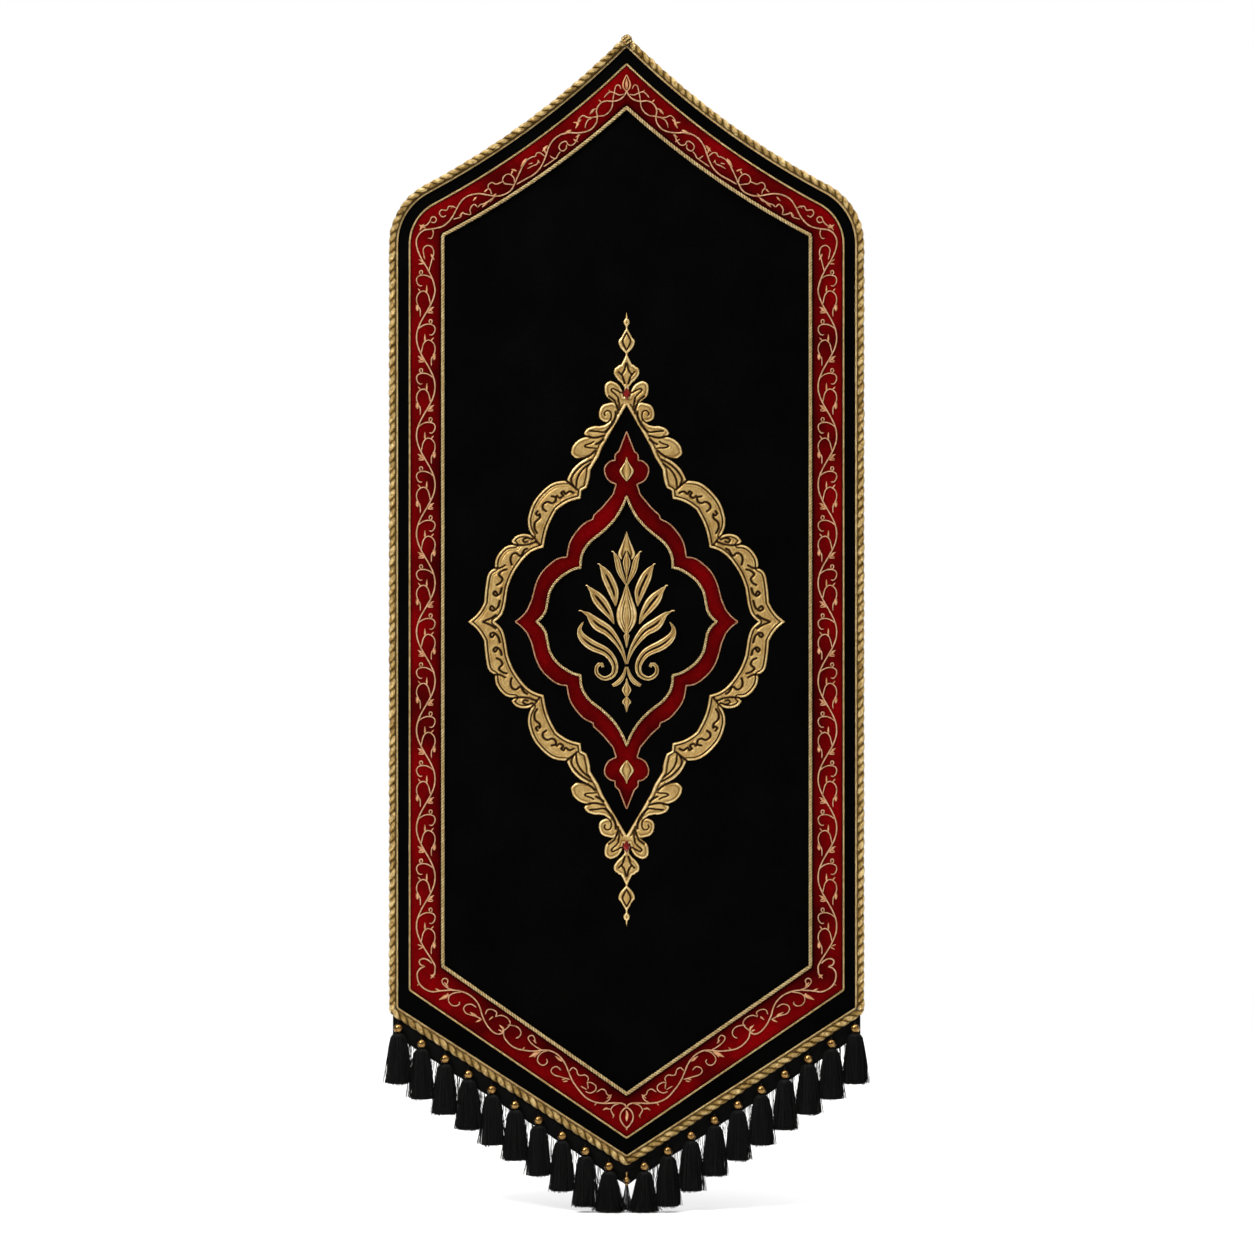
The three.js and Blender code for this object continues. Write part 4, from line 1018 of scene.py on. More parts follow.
def vine():
    threads, buds = Piece(), Piece()

    def thread(points, radius=BRANCH_RADIUS, step=1.4):
        laid_thread(threads, flowing(points, step), radius, VINE_DEPTH - 0.8 * radius)

    def petal(rows, height=1.3, section=BUD, steps=8):
        leaf(buds, rows, VINE_DEPTH, height, section, steps)

    def bud(start, end, plump=0.34):
        start, end = np.array(start), np.array(end)
        width = max(1.5, plump * np.linalg.norm(end - start))
        petal([[*start, 0.8], [*(start + 0.4 * (end - start)), width], [*end, 0.6]])

    for side in (1, -1):
        for stem in (SLOPE_STEM, side_stem(), CORNER_STEM, HEM_STEM):
            thread(flipped(stem, side), STEM_RADIUS, 1.8)
        for branch in BRANCHES:
            thread(flipped(branch, side))
        for x, z, tip_x, tip_z in BUDS:
            bud((side * x, z), (side * tip_x, tip_z))
        for swing in range(SIDE_SWINGS):
            # Inner and outer swings by turns, where the stem swings furthest
            sign = 1 if swing % 2 else -1
            furthest = np.array([BAND_MIDDLE, FIRST_SIDE_SWING + WAVE / 2 - swing * WAVE / 2])

            def put_down(rows):
                rows = np.array(rows, float)
                return flipped(furthest + np.stack([sign * rows[:, 1], -rows[:, 0]], 1), side)

            for rows in SPRIG_THREADS:
                thread(put_down(rows))
            for down, out, tip_down, tip_out in SPRIG_BUDS:
                bud(*put_down([(down, out), (tip_down, tip_out)]), 0.26)
            petal(np.concatenate([put_down(SPRIG_LEAF), np.array(SPRIG_LEAF)[:, 2:]], 1))
    for rows in both_sides(TOP_FLAME_SIDE):
        petal(rows, 1.4, RIDGED, 14)
    petal(TOP_FLAME, 1.7, PLAIN, 14)
    laid_thread(threads, flowing(LOOP, 1.3, True), STEM_RADIUS, VINE_DEPTH - STEM_RADIUS, True)
    petal(LOOP_FLAME, 1.2, RIDGED, 12)
    petal(LOOP_BUD, 1.2, RIDGED)
    return [threads.build("vine_thread", VINE_GOLD, "gold_thread"),
            buds.build("vine_buds", VINE_GOLD, "gold_thread")]


# Medallion

FINIAL_CHART = [(0, 340.5), (0.8, 336), (1.1, 333.6), (3.2, 330.4, 0.5), (2.3, 326.6, 0.6), (1, 324.6),
                (1, 322), (4.2, 316.2), (8.7, 309.9, -0.5), (8.7, 305.5, 0.4), (5.4, 299.6, 0.3), (1, 295),
                (1, 293.4), (3.3, 288.2), (6.2, 282.7), (10.1, 280.3, 0.7), (14.1, 275.9, 1),
                (12.5, 269.9, 0.7), (6.2, 263, 0.5), (2.6, 258.3), (2.4, 248)]
EAR_CHART = [(3.4, 247.2), (4.9, 253.9), (17.5, 264.9, 2.4), (24.2, 255.2, 2.8), (17.9, 244.4, 2),
             (11.3, 238.6)]
VOLUTE_CHART = [(19.5, 240.5, 1.4), (30.6, 229.7, 3.2), (23.9, 219.8, 2.6), (19.8, 219.4)]
LEAVES_CHART = [(24.5, 216.2), (30.7, 215), (38.5, 214.4, 0.6), (47, 207, 1.6), (43.4, 203.4),
                (53.4, 199.7, 0.6), (61.2, 184.9, 2.2), (51.8, 178.5, 1.2), (45, 179.5), (59.6, 167.8, 1),
                (66, 155, 0.4)]
SCALLOPS_CHART = [(91.1, 145.5, 3.2), (108.4, 114.5, 3.2), (103.6, 94.3, 2), (115, 96.6, 1), (126.8, 88.2, 2),
                  (122.7, 84.7), (138.7, 77.6, 2.4), (144.8, 59.1, 2.2), (153.7, 47.7, 2.2),
                  (156.6, 21.5, 0.4), (174.6, 0, -2.2)]
FRAME_OUTSIDE = [*FINIAL_CHART, *EAR_CHART, *VOLUTE_CHART, *LEAVES_CHART, *SCALLOPS_CHART]
FRAME_INSIDE = [(0, 238), (16.4, 210), (26.4, 192.3), (30.8, 181.3), (39.6, 167), (44, 147.2, -1),
                (49.5, 144.3), (50.5, 135.4), (76.8, 122.9, 2.3), (91.1, 81.7, 2.7), (115, 66.9, 2.8),
                (130.5, 37, 1.8), (132.8, 21.5), (136.6, 8.4, -0.4), (145, 0, -0.6)]
RED_OUTSIDE = [(0, 209.2), (8.6, 186.9), (12.4, 183.5, 0.5), (12.4, 177.5, 0.4), (21.3, 173.7, 1.2),
               (24.2, 164.9, 1.2), (11.3, 151.4, 3.2), (14.7, 140.1), (26.6, 125.8), (36.2, 116.9),
               (36.9, 112.8), (54.1, 100.2, 1.8), (64.8, 76.3, 2.2), (65.5, 71), (81.5, 65.6, 1.6),
               (100.7, 38.2, 3), (104.2, 23.9), (108.9, 13.1), (122.5, 0, -1)]
PIPING_LINE = [(0, 137.9), (12.5, 113.3, -1), (34.7, 92.5, -1), (47, 79, 1), (50.6, 59.8, 1.4), (66, 53.7, 1),
               (85, 32.3, 2.4), (88.7, 12.7), (99, 0, -1.2)]

# Heights over the medallion's middle: a channel between rims lies below the first, leaves lie above the
# second, and the arms beside the opening end at the third
CHANNEL_TOP = 147
LEAVES_FOOT = 156
ARM_TOP = 240
ARM_WIDTH = 4.2

# Grooves in the frame: half width and the places along them
DEEP = 1.35
SHALLOW = 1.15
GROOVES = [
    # Ear, with its hooked slit and its veins
    (1.0, [(5.3, 251.5), (10, 254), (15.2, 256.4), (16.6, 253.9), (12.6, 250.3), (9.4, 246.8)]),
    (SHALLOW, [(9.2, 245.6), (8.4, 240), (7.4, 233)]),
    (SHALLOW, [(19.6, 248), (13.5, 243), (10.4, 237)]),
    (SHALLOW, [(11.3, 238.6), (9.8, 234), (9.3, 229)]),
    # Volute
    (0.9, [(20.5, 219.6), (17.6, 222.5), (16.8, 227.5), (18.4, 231.4), (22, 232), (24.6, 229.2),
           (23.6, 226.6)]),
    (SHALLOW, [(12, 231), (12.6, 223), (17, 214.6), (23.6, 208.4)]),
    # First leaf
    (SHALLOW, [(19.5, 212.5), (24.8, 208.5), (32.3, 209.2), (40, 209.8)]),
    (DEEP, [(43.6, 204), (37.4, 202.4), (31.5, 202.8), (25.4, 204.5)]),
    # Second leaf, with its hooked slit
    (DEEP, [(25.4, 200.2), (29.8, 197.1), (33.6, 195.2)]),
    (1.0, [(33.6, 190.7), (37.4, 191.1), (42.4, 191.4), (45.8, 192.5), (45.1, 194.2), (42, 195.2),
           (38.7, 196.4), (36.1, 198)]),
    (DEEP, [(53.8, 178.8), (45, 180.6), (38.7, 184.1), (34.5, 188)]),
    # Third leaf
    (SHALLOW, [(38.7, 178.4), (43.7, 175.3), (48.8, 172.1), (53.8, 167.7), (58.9, 161.4), (60.8, 155.7),
               (58.6, 150)]),
    (SHALLOW, [(40.5, 173.5), (46.5, 169), (51.5, 163), (54.6, 156), (55.4, 149)]),
    # Where the scallops meet
    (DEEP, [(66, 155), (60.4, 150.5), (54.5, 145.5)]),
    (DEEP, [(103.6, 94.3), (100.5, 91), (95.6, 84.6)]),
    (DEEP, [(122.7, 84.7), (116, 84.2), (108, 85), (99.5, 88)]),
    (DEEP, [(144.8, 59.1), (139, 59.2), (133.6, 62)]),
    # Scrolls in the channel
    (DEEP, [(58.2, 141.8), (62.7, 143.4), (67.1, 140.5), (69, 143.4), (71.8, 141.5), (69.6, 138.6),
            (73.4, 136.1), (76.5, 138.6)]),
    (DEEP, [(82.2, 138), (77.8, 136.8), (78.4, 132.3), (82.2, 130.4), (87, 131.9), (91.5, 129), (92, 124.5),
            (88.5, 121.5)]),
    (DEEP, [(97.8, 121.6), (99.6, 118.6), (97.2, 116.8), (95.3, 118.5), (95.8, 113.8), (100.4, 109.5),
            (101.3, 103), (98.5, 97.5)]),
    (SHALLOW, [(103.5, 90.4), (109, 92.2), (113.6, 90.4), (112.6, 87.6), (108.4, 88.2)]),
    (DEEP, [(109.5, 80.4), (112.7, 78.4), (116.4, 72.4), (121.5, 75.6), (125.8, 73.8), (127.6, 68.6),
            (126.4, 62.8)]),
    (DEEP, [(131.8, 57.6), (136.4, 56.2), (140.4, 52), (136.6, 47.6), (138.4, 43), (142.6, 40.6)]),
    (DEEP, [(137.4, 37), (139, 31.5), (143, 28.4), (146.4, 31), (144.4, 33.6), (141.8, 30)]),
    (DEEP, [(139.4, 23), (141.4, 16.4), (146, 12.2), (150, 14), (148.4, 17.4), (145.6, 15)]),
    (DEEP, [(143.8, 7.2), (149.6, 3.6), (157.4, 0.4)]),
    # Finials
    (0.95, [(0, 318), (4.3, 308.6), (0, 298.5)]),
    (SHALLOW, [(2.2, 262), (4.4, 269.5), (8.6, 274.6)]),
    (SHALLOW, [(0.2, 284), (2.6, 276), (5.6, 272)]),
]


def ridge(distance, middle, half_width):
    return np.exp(-((distance - middle) / half_width) ** 2)


def eased(value, start, end):
    share = np.clip((value - start) / (end - start), 0, 1)
    return share * share * (3 - 2 * share)


def medallion_frame():
    piece = Piece()

    def surface(x, z, out, inner):
        near = np.minimum(out, inner)
        groove = ridge(out, 3.2, 0.95) + ridge(inner, 3.2, 0.95)
        second = ridge(out, 6.2, 0.7) + ridge(inner, 6.0, 0.7)
        channel = 1.3 + 0.95 * ridge(out, 1.4, 1.0) + 0.45 * ridge(out, 4.6, 0.8)
        channel += 1.0 * ridge(inner, 1.4, 1.0) + 0.4 * ridge(inner, 4.5, 0.8)
        channel += 0.35 * eased(near, 5, 8) - 0.9 * groove - 0.5 * second
        # light and leaf_light are tones: painted highlight on the rims, painted shade in the grooves and the
        # split
        light = 0.62 + 0.38 * ridge(out, 1.4, 0.9) + 0.12 * ridge(out, 4.7, 0.8)
        light += 0.38 * ridge(inner, 1.4, 0.9) - 0.75 * groove - 0.16 * second
        arm = (inner < ARM_WIDTH) & (z > CHANNEL_TOP) & (z < ARM_TOP)
        body = 1.1 + 1.3 * (1 - np.exp(-near / 3.0)) + 0.25 * ridge(out, 1.0, 0.8)
        leaf_light = 0.64 + 0.36 * ridge(out, 1.2, 0.9) - 0.34 * ridge(out, 3.3, 0.9)
        split = ridge(inner, 4.4, 0.9) * (z < ARM_TOP)
        body = np.where(arm, 1.2 + 1.1 * ridge(inner, 1.9, 1.5), body) - 1.0 * split
        leaf_light = np.where(arm, 0.55 + 0.42 * ridge(inner, 1.6, 1.1), leaf_light) - 0.6 * split
        leafy = eased(z, CHANNEL_TOP, LEAVES_FOOT)
        height = channel * (1 - leafy) + body * leafy
        tone = light * (1 - leafy) + leaf_light * leafy
        for half_width, places in GROOVES:
            gap = gap_to(flowing(places, 1.0), x, z)
            cut = np.exp(-(gap / half_width) ** 4)
            height = height - (0.9 + 0.5 * half_width) * cut
            # Painted shade: a dark line in a shaded hollow, with a painted highlight on the hollow's brim
            tone = tone * (1 - cut) * (1 - 0.12 * np.exp(-(gap / (2 * half_width)) ** 2))
            tone = tone + 0.12 * ridge(gap, 2.1 * half_width, 0.6)
        height = np.clip(height, 0.35, 2.7) * (1 - 0.6 * np.exp(-near / 0.45))
        # The tone is painted darker close to the outlines, as shade at the edges
        return height, np.clip(tone - 0.3 * np.exp(-near / 0.35), 0, 1)

    relief(piece, FRAME_OUTSIDE, FRAME_INSIDE, (176, 342), 0.75, surface)
    return piece.build("medallion_relief", GOLD_WORK, "gold_thread", ["medallion_frame"], weld=True)


def medallion_red():
    """The red velvet inside the frame, with a thread on its outside and a twisted piping on its inside."""
    band, outline, piping = Piece(), Piece(), Piece()

    def surface(x, z, out, inner):
        near = np.minimum(out, inner)
        # Lower towards the edges, with painted shade there
        return 0.45 + 0.65 * (1 - np.exp(-near / 1.2)), 0.7 * (1 - np.exp(-near / 3.6))

    relief(band, RED_OUTSIDE, PIPING_LINE, (126, 211), 1.5, surface)
    path = softened(resampled(fourfold(RED_OUTSIDE), 1.0, True), 1, True)
    tube(outline, at_depth(path, ON_CLOTH - 0.5), TO_FRONT, 0.8, 6, True)
    twisted(piping, fourfold(PIPING_LINE), ON_CLOTH - PIPING_RADIUS, PIPING_RADIUS, 6, 0.9, 7, True, 0.74, 1)
    return [
        band.build("medallion_red_velvet", RED_VELVET, "red_velvet", ["medallion_red_band"], weld=True),
        outline.build("medallion_red_outline", VINE_GOLD, "gold_thread"),
        piping.build("medallion_piping_twist", CORD_GOLD, "gold_thread", ["medallion_piping"]),
    ]


# Palmette: each side leaf's vein and its rows of (x, z, width) from the medallion's middle
SIDE_LEAVES = [
    ((0.25, 0.8), [(29.6, 62.9, 0.9), (28, 60.4, 3.2), (25.6, 57, 7), (21.2, 48.8, 12), (15, 35, 12),
                   (13.1, 26.2, 7.7), (12.1, 17.4, 0.9)]),
    ((0.25, 0.8), [(42.9, 39.1, 0.9), (41, 37, 3), (38.5, 34.4, 5.5), (32.5, 26.7, 12.5), (25.9, 18.5, 13.5),
                   (18.7, 8, 8), (13.9, -2.4, 0.9)]),
    ((0.2, 0.85), [(49.4, 11.7, 0.9), (46, 10, 2.6), (41.8, 7.5, 5.5), (32.5, -2.4, 13), (19.8, -10.7, 11.5),
                   (9, -24.4, 7), (3.3, -36.5, 3.8), (0.6, -46.4, 1.6)]),
    ((0.15, 0.95), [(47.5, -0.2, 0.9), (51.7, -7.9, 4.4), (49, -16.7, 9), (38.5, -25.5, 11.5),
                    (21.6, -34, 9.5), (13.2, -46.5, 7.5), (14.6, -57.8, 6), (24.4, -62.4, 4.6),
                    (32.7, -56.9, 4.4), (32.6, -48.8, 3.9), (27.6, -46.2, 4), (25.9, -49.8, 2.6)]),
    (NO_VEIN, [(14.2, 76.6, 0.9), (12, 71.8, 4.2), (10, 66, 6.2), (8.6, 59.5, 6.6), (6.4, 53, 5.6),
               (3.3, 46.5, 3.6), (0.9, 41, 1.4)]),
    (NO_VEIN, [(0.7, -49.7, 1.6), (3.9, -59.6, 3.9), (8.8, -66.2, 5), (15.4, -70.1, 3.3)]),
]
# The hooks at the leaves' tips
HOOKS = [[(28.6, 61.4), (29.8, 63.4), (32, 63.8)], [(41.8, 37.8), (43, 39.8), (45.6, 40)],
         [(47.5, 10.8), (50, 12.2), (53, 12.2)], [(12.8, 73.4), (14.4, 76.8), (16.8, 77.4)]]
# Leaves on the middle line: section, height and rows of (z, width). The flame and its hollow, painted dark
# as shade, come first
MIDDLE_LEAVES = [
    (PLAIN, 1.5, [(99.3, 0.8), (94.5, 3.2), (90, 6.6), (85, 11), (80, 15.4), (76, 18.6), (72.5, 18.4),
                  (69.5, 14), (66.5, 6)]),
    (SHADED_HOLLOW, 1.9, [(81.5, 0.8), (76, 5.2), (70, 10.4), (65.5, 12), (58, 9.4), (51, 5.4), (44, 0.8)]),
    (PLAIN, 3.1, [(78.5, 0.8), (73, 3.8), (65.5, 8.4), (57, 5), (49.5, 0.8)]),
    (PLAIN, 1.7, [(42.6, 0.8), (34, 6.2), (25, 12.6), (14, 20.6), (6, 22.4), (-2, 18.8), (-9, 10),
                  (-13, 2.6)]),
    (PLAIN, 2.5, [(33, 0.8), (25, 6), (15, 13), (6, 15), (-2, 11), (-10, 1.2)]),
    (PLAIN, 3.1, [(23, 0.6), (15, 5.6), (6, 8), (0, 6), (-7, 0.8)]),
    (PLAIN, 1.7, [(-12.2, 2), (-15.5, 6.6), (-19, 4.8), (-28.4, 0.8)]),
    (PLAIN, 1.8, [(-62, 0.8), (-68.5, 4), (-74.6, 10.4), (-79.4, 6), (-82.9, 1.4)]),
    (PLAIN, 1.8, [(-82.5, 1.4), (-88, 10), (-92, 4.6), (-99.2, 0.8)]),
]
# Diamonds and gems: distance of the upper one from the medallion's middle, foot and rows of (z, width)
DIAMOND_PLACE, GEM_PLACE = 166, 250.8
DIAMOND_FOOT, GEM_FOOT = ON_CLOTH - 1.1, ON_CLOTH - 2.4
HOOK_RADIUS = 0.7
DIAMOND = [(14.8, 0.8), (9.5, 3.8), (4, 11.4), (0, 16), (-5, 11.4), (-11.5, 0.8)]
DIAMOND_MIDDLE = [(7, 0.6), (2.4, 4.4), (0, 6), (-3, 4), (-6, 0.6)]
GEM = [(6.6, 0.6), (3.4, 4.6), (0, 8), (-3.4, 4.6), (-6.6, 0.6)]
FACETS = [(0, 1, 0.5), (0.45, 1, 0.5), (1, 0.35, 0.5), (1, -0.1, 0.5)]


def palmette():
    piece = Piece()

    def middle_leaves(leaves):
        for section, height, rows in leaves:
            leaf(piece, upright(rows), ON_CLOTH, height, section, vein=NO_VEIN)

    middle_leaves(MIDDLE_LEAVES[:2])
    for vein, rows in SIDE_LEAVES:
        section = PLAIN if vein == NO_VEIN else VEINED
        for side in both_sides(rows):
            leaf(piece, lifted(side), ON_CLOTH, 2.0, section, 34, vein)
    middle_leaves(MIDDLE_LEAVES[2:])
    for places in HOOKS:
        for side in (1, -1):
            path = flipped(flowing(places, 0.7), side) + np.array([0, MEDALLION_HEIGHT])
            laid_thread(piece, path, HOOK_RADIUS, ON_CLOTH - 0.8)
    return piece.build("palmette_relief", GOLD_WORK, "gold_thread", ["palmette"])


def diamonds_and_gems():
    made = []
    for name, sign in (("top", 1), ("bottom", -LOWER_HALF)):
        diamond, gem = Piece(), Piece()
        middle = MEDALLION_HEIGHT + sign * DIAMOND_PLACE
        leaf(diamond, upright(DIAMOND, middle, sign), DIAMOND_FOOT, 1.6, PLAIN, 22, NO_VEIN)
        leaf(diamond, upright(DIAMOND_MIDDLE, middle, sign), DIAMOND_FOOT, 2.0, RIDGED, 12, NO_VEIN)
        middle = MEDALLION_HEIGHT + sign * GEM_PLACE
        leaf(gem, upright(GEM, middle), GEM_FOOT, 2.6, FACETS, 7, NO_VEIN)
        made.append(diamond.build(f"diamond_{name}_relief", GOLD_WORK, "gold_thread", ["diamond_" + name]))
        made.append(gem.build(f"gem_{name}_cut", RED_STONE, "red_stone", ["gem_" + name], flat=True))
    return made


# Beads and tassels

# Down a tassel: drop below the bead's middle, half width and half depth
TASSEL_TOP = [(4.6, 1.6, 1.6), (5.6, 3.6, 3.2), (7.0, 5.8, 4.8)]
TASSEL_STATIONS = [*TASSEL_TOP, (10.0, 8.0, 5.5), (20, 10.0, 6.0), (35, 11.7, 6.5), (50, 12.7, 6.9),
                   (62, 13.6, 7.1)]
# The outermost tassels spread where they reach the floor
FLOOR_STATIONS = [*TASSEL_TOP, (10.0, 7.8, 5.5), (20, 9.8, 6.1), (32, 12.2, 6.6), (40, 14.6, 7.6),
                  (45, 16.8, 8.4), (49, 19.6, 9.6)]
MIDDLE_STATIONS = [(3.4, 0.9, 0.9), (4.4, 1.2, 1.2), (8, 1.7, 1.6), (16, 3.2, 2.4), (24, 4.6, 3.2),
                   (32, 5.4, 3.6)]
# Threads on the outside and inside, their radius, and the core's share of the width
FULL = {"outer": 185, "inner": 30, "radius": 0.34, "core": 0.84}
THIN = {"outer": 34, "inner": 16, "radius": 0.27, "core": 0.3}
# The middle bead has a stem above it and a collar below: radius and height over its middle
MIDDLE_STEM = [(1.1, 8.6), (1.1, 3.8)]
MIDDLE_COLLAR = [(1.7, -3.7), (2.1, -4.6), (1.6, -5.8), (0.7, -6.1)]
NECK_RADIUS = 0.85
WISPS = 26
WISP_RADIUS = 0.2
# Loose threads in each space between two tassels, and how far they lie from its middle
LOOSE_THREADS = 32
LOOSE_SPREAD = 8
LOOSE_RADIUS = 0.27


def at_height(flat, height):
    return np.stack([flat[:, 0], flat[:, 1], np.full(len(flat), height)], 1)


def bead(number, place, radius, above=(), below=()):
    """A brass bead, turned in at its bore or with a stem and a collar."""
    piece = Piece()
    mouth = math.asin(BEAD_BORE / radius)
    profile = [(radius * math.sin(a), radius * math.cos(a)) for a in np.linspace(mouth, math.pi - mouth, 15)]
    bore, top, bottom = BEAD_BORE * 0.8, profile[0][1], profile[-1][1]
    above = above or [(bore, top - 1.2), (bore, top - 0.1)]
    below = below or [(bore, bottom + 0.1), (bore, bottom + 1.2)]
    rings = [place + at_height(ring(24, r, r), up) for r, up in [*above, *profile, *below]]
    piece.add_rings(rings)
    return piece.build(f"brass_bead_{number:02d}", BRASS, "brass_bead", [f"bead_{number:02d}"])


def tassel(number, place, stations, length, lean, rng, look=FULL):
    """A core painted dark as the shade among the threads, threads that hang round it from the bead, and the
    neck that holds it.
    """
    piece = Piece()
    x, y, z = place
    drops, widths, depths = np.array(stations, float).T
    drops = drops * (1 + (length / drops[-1] - 1) * drops / drops[-1])
    rings = []
    for drop, width, depth in zip(np.append(drops[:-1], length - 1.5), widths, depths):
        shifted = place + np.array([lean * (drop / length) ** 2, 0, 0])
        rings.append(shifted + at_height(ring(14, look["core"] * width, look["core"] * depth), -drop))
    # The core is painted dark, as the shade among the threads
    piece.add_rings(rings, 0.0)
    shoulder = drops[3]
    fine = np.concatenate([drops[:4], np.linspace(shoulder, length, 6)[1:]])
    for strand in range(look["outer"] + look["inner"]):
        angle = rng.uniform(0, 2 * np.pi)
        share = 1.0 if strand < look["outer"] else math.sqrt(rng.uniform(0.1, 0.85))
        share *= rng.uniform(0.93, 1.03) * (1 + 0.035 * math.cos(9 * angle + number))
        end = length - abs(rng.normal(0, 0.7)) - (rng.uniform(0, 4) if rng.uniform() < 0.05 else 0)
        end -= 2.0 * abs(math.cos(angle)) ** 3 + 0.6 * math.sin(3 * angle + 2.1 * number)
        end = min(end, length)
        drop = fine.copy()
        drop[3:] = shoulder + (drop[3:] - shoulder) * (end - shoulder) / (length - shoulder)
        width = np.interp(drop, drops, widths)
        depth = np.interp(drop, drops, depths)
        down = np.clip((drop - shoulder) / (length - shoulder), 0, 1)
        stray = rng.normal(0, 2.0) if rng.uniform() < 0.05 else rng.normal(0, 0.25)
        if abs(math.cos(angle)) > 0.75 and rng.uniform() < 0.22:
            stray = math.copysign(rng.uniform(1, 4.6), math.cos(angle))
        bow = rng.normal(0, 0.45) * np.sin(np.pi * down) + stray * down ** 2
        swing = rng.normal(0, 0.05) * down
        out = share * (1 + 0.02 * np.sin(4 * down + angle))
        across = x + lean * (drop / length) ** 2 + width * out * np.cos(angle + swing) + bow
        path = np.stack([across, y + depth * out * np.sin(angle + swing), z - drop], 1)
        thick = look["radius"] * np.interp(down, [0, 0.8, 1], [1, 0.9, 0.55])
        tone = np.clip(rng.normal(0.45, 0.2), 0.05, 1)
        tube(piece, path, (-math.sin(angle), math.cos(angle), 0), thick, 3, tone=tone)
    # The neck, through the bead and back to the tape
    neck = [(x, y, z - drops[1]), (x, y, z), (x, y, z + 6.4), (x, y + 2.2, z + 8),
            (x, ON_CLOTH + 0.4, z + 9.4)]
    tube(piece, neck, (1, 0, 0), NECK_RADIUS, 6, tone=0.3)
    return piece.build(f"tassel_threads_{number:02d}", BLACK_SILK, "black_silk", [f"tassel_{number:02d}"])


def tassels():
    made = []
    for pair in range(PAIRS):
        x, z = (FIRST_BEAD[axis] + pair * BEAD_STEP[axis] for axis in (0, 1))
        for side, number in ((-1, PAIRS - pair), (1, PAIRS + 2 + pair)):
            place = np.array([side * x, ON_CLOTH - BEAD_RADIUS, z])
            rng = np.random.default_rng(100 + number)
            if pair == 0:
                made.append(tassel(number, place, FLOOR_STATIONS, z - FLOOR, -side * 1.5, rng))
            else:
                made.append(tassel(number, place, TASSEL_STATIONS, TASSEL_LENGTH, 0, rng))
            made.append(bead(number, place, BEAD_RADIUS))
    rng = np.random.default_rng(7)
    place = np.array([0, ON_CLOTH - MIDDLE_BEAD_RADIUS, MIDDLE_HEIGHT])
    made.append(tassel(PAIRS + 1, place, MIDDLE_STATIONS, MIDDLE_LENGTH, 0, rng, THIN))
    made.append(bead(PAIRS + 1, place, MIDDLE_BEAD_RADIUS, MIDDLE_STEM, MIDDLE_COLLAR))
    made.append(wisps(place[1] - 1, rng))
    return made


def wisps(depth, rng):
    """Loose pale threads in front of the middle tassel."""
    piece = Piece()
    down = np.linspace(0, 1, 10)
    for _ in range(WISPS):
        spread = rng.normal(0, 2.0)
        curl = rng.uniform(0.3, 1.6) * np.sin(rng.uniform(5, 10) * down + rng.uniform(0, 6))
        top, bottom = MIDDLE_HEIGHT - 5.4, FLOOR + rng.uniform(0.4, 9)
        path = np.stack([(spread + curl) * down ** 0.7, depth - 2 * down, top + (bottom - top) * down], 1)
        tube(piece, path, TO_FRONT, WISP_RADIUS, 3, tone=rng.uniform(0.2, 1))
    return piece.build("middle_wisps", PALE_SILK, "black_silk")


def loose_threads():
    """Thin threads that hang from the tape's edge between the tassels."""
    piece = Piece()
    rng = np.random.default_rng(21)
    slope = math.tan(math.radians(EDGE[4]))
    down = np.linspace(0, 1, 8)
    middles = FIRST_BEAD[0] + (np.arange(PAIRS) + 0.5) * BEAD_STEP[0]
    for middle in np.repeat(np.stack([-middles, middles], 1).ravel(), LOOSE_THREADS):
        x = middle + math.copysign(1, middle) * rng.uniform(-LOOSE_SPREAD, LOOSE_SPREAD)
        top = EDGE[3] - STRIP["drop"] + abs(x) * slope
        if abs(x) > STRIP["reach"]:
            continue
        drop = rng.uniform(16, 46)
        sway = rng.normal(0, 2.2) * down ** 1.5 + rng.normal(0, 0.6) * np.sin(np.pi * down)
        depth = rng.uniform(-2, -0.2) + rng.normal(0, 1.0) * down
        path = np.stack([x + sway, depth, np.maximum(top + 1.5 - drop * down, FLOOR + 0.3)], 1)
        tube(piece, path, (1, 0, 0), LOOSE_RADIUS, 3, tone=rng.uniform(0.3, 1))
    return piece.build("loose_fringe_threads", BLACK_SILK, "black_silk")


# Stage, light and camera

FLOOR_REACH = 1.7
LENS = 104.4
SENSOR_WIDTH = 36
CAMERA_PLACE = (0.0004, -4.0, -0.6413)
# Name, place, target, size, power and colour of each lamp
LAMPS = [
    ("key", (-1.6, -1.8, 1.3), (0, 0, -0.6), (0.9, 0.9), 90, (1, 0.98, 0.95)),
    ("fill", (2.2, -2.6, -0.2), (0, 0, -0.6), (1.8, 1.8), 8, WHITE),
    ("overhead", (0, 0.4, 2.6), (0, 0.4, -1.3), (4, 4), 190, WHITE),
]


def emitter(name, place, target, size, power, colour):
    data = bpy.data.lights.new(name, "AREA")
    data.shape = "RECTANGLE"
    data.size, data.size_y = size
    data.energy = power
    data.color = colour
    lamp = bpy.data.objects.new(name, data)
    lamp.location = place
    lamp.rotation_euler = (Vector(target) - Vector(place)).to_track_quat("-Z", "Y").to_euler()
    bpy.context.scene.collection.objects.link(lamp)


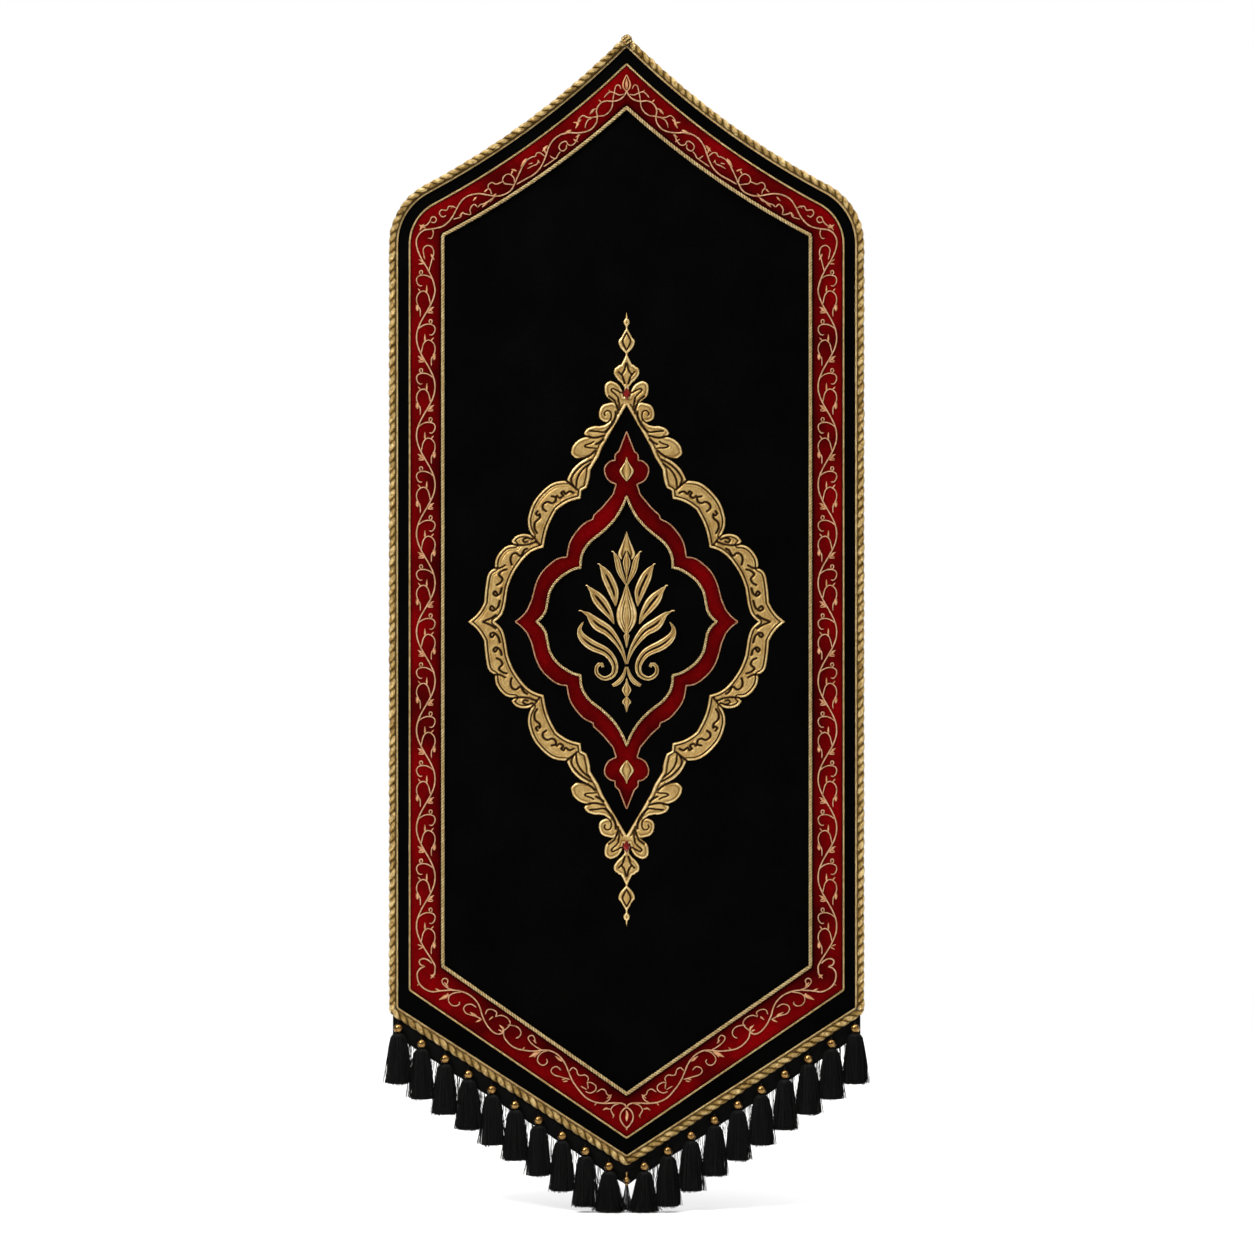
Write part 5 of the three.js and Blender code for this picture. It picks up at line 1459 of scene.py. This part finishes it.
def studio_floor():
    made, tree = material("studio_floor", Roughness=0.9)
    colour = ramp(tree, noise(tree, 0.8, 1), (0.3, grey(0.93)), (0.7, grey(0.95)))
    tree.links.new(colour, shader_of(tree).inputs["Base Color"])
    mesh = bpy.data.meshes.new("floor")
    corners = [(-1, -1), (1, -1), (1, 1), (-1, 1)]
    height = (FLOOR - 0.1) * MM
    mesh.from_pydata([(FLOOR_REACH * x, FLOOR_REACH * y, height) for x, y in corners], [], [(0, 1, 2, 3)])
    mesh.materials.append(made)
    floor = bpy.data.objects.new("floor", mesh)
    bpy.context.scene.collection.objects.link(floor)


def backdrop():
    """White where the camera sees it, and a softer light from above on the banner."""
    world = bpy.data.worlds.new("studio")
    bpy.context.scene.world = world
    world.use_nodes = True
    tree = world.node_tree
    tree.nodes.clear()
    seen = node(tree, "Background", {"Color": (1, 1, 1, 1), "Strength": 1.0})
    split = node(tree, "SeparateXYZ", Vector=node(tree, "TexCoord").outputs["Generated"])
    sky = ramp(tree, split.outputs["Z"], (0.0, grey(0.45)), (1.0, WHITE))
    lit = node(tree, "Background", {"Strength": 0.55}, Color=sky)
    mix = node(tree, "MixShader", Fac=node(tree, "LightPath").outputs["Is Camera Ray"])
    tree.links.new(lit.outputs[0], mix.inputs[1])
    tree.links.new(seen.outputs[0], mix.inputs[2])
    node(tree, "OutputWorld", Surface=mix.outputs[0])


def studio():
    studio_floor()
    backdrop()
    for lamp in LAMPS:
        emitter(*lamp)
    settings = bpy.context.scene.view_settings
    settings.view_transform = "Standard"
    settings.look = "None"


def camera():
    data = bpy.data.cameras.new("camera")
    data.lens = LENS
    data.sensor_width = SENSOR_WIDTH
    made = bpy.data.objects.new("camera", data)
    made.location = CAMERA_PLACE
    made.rotation_euler = (math.pi / 2, 0, 0)
    bpy.context.scene.collection.objects.link(made)
    bpy.context.scene.camera = made


camera()
studio()
panel, outline = cloth()
laid_on = [lining(), border(), *cords(), edge_rope(), hem_rope(), *vine(), medallion_frame(),
           *medallion_red(), palmette(), *diamonds_and_gems()]
tape = heading()
hung = [*tassels(), loose_threads()]
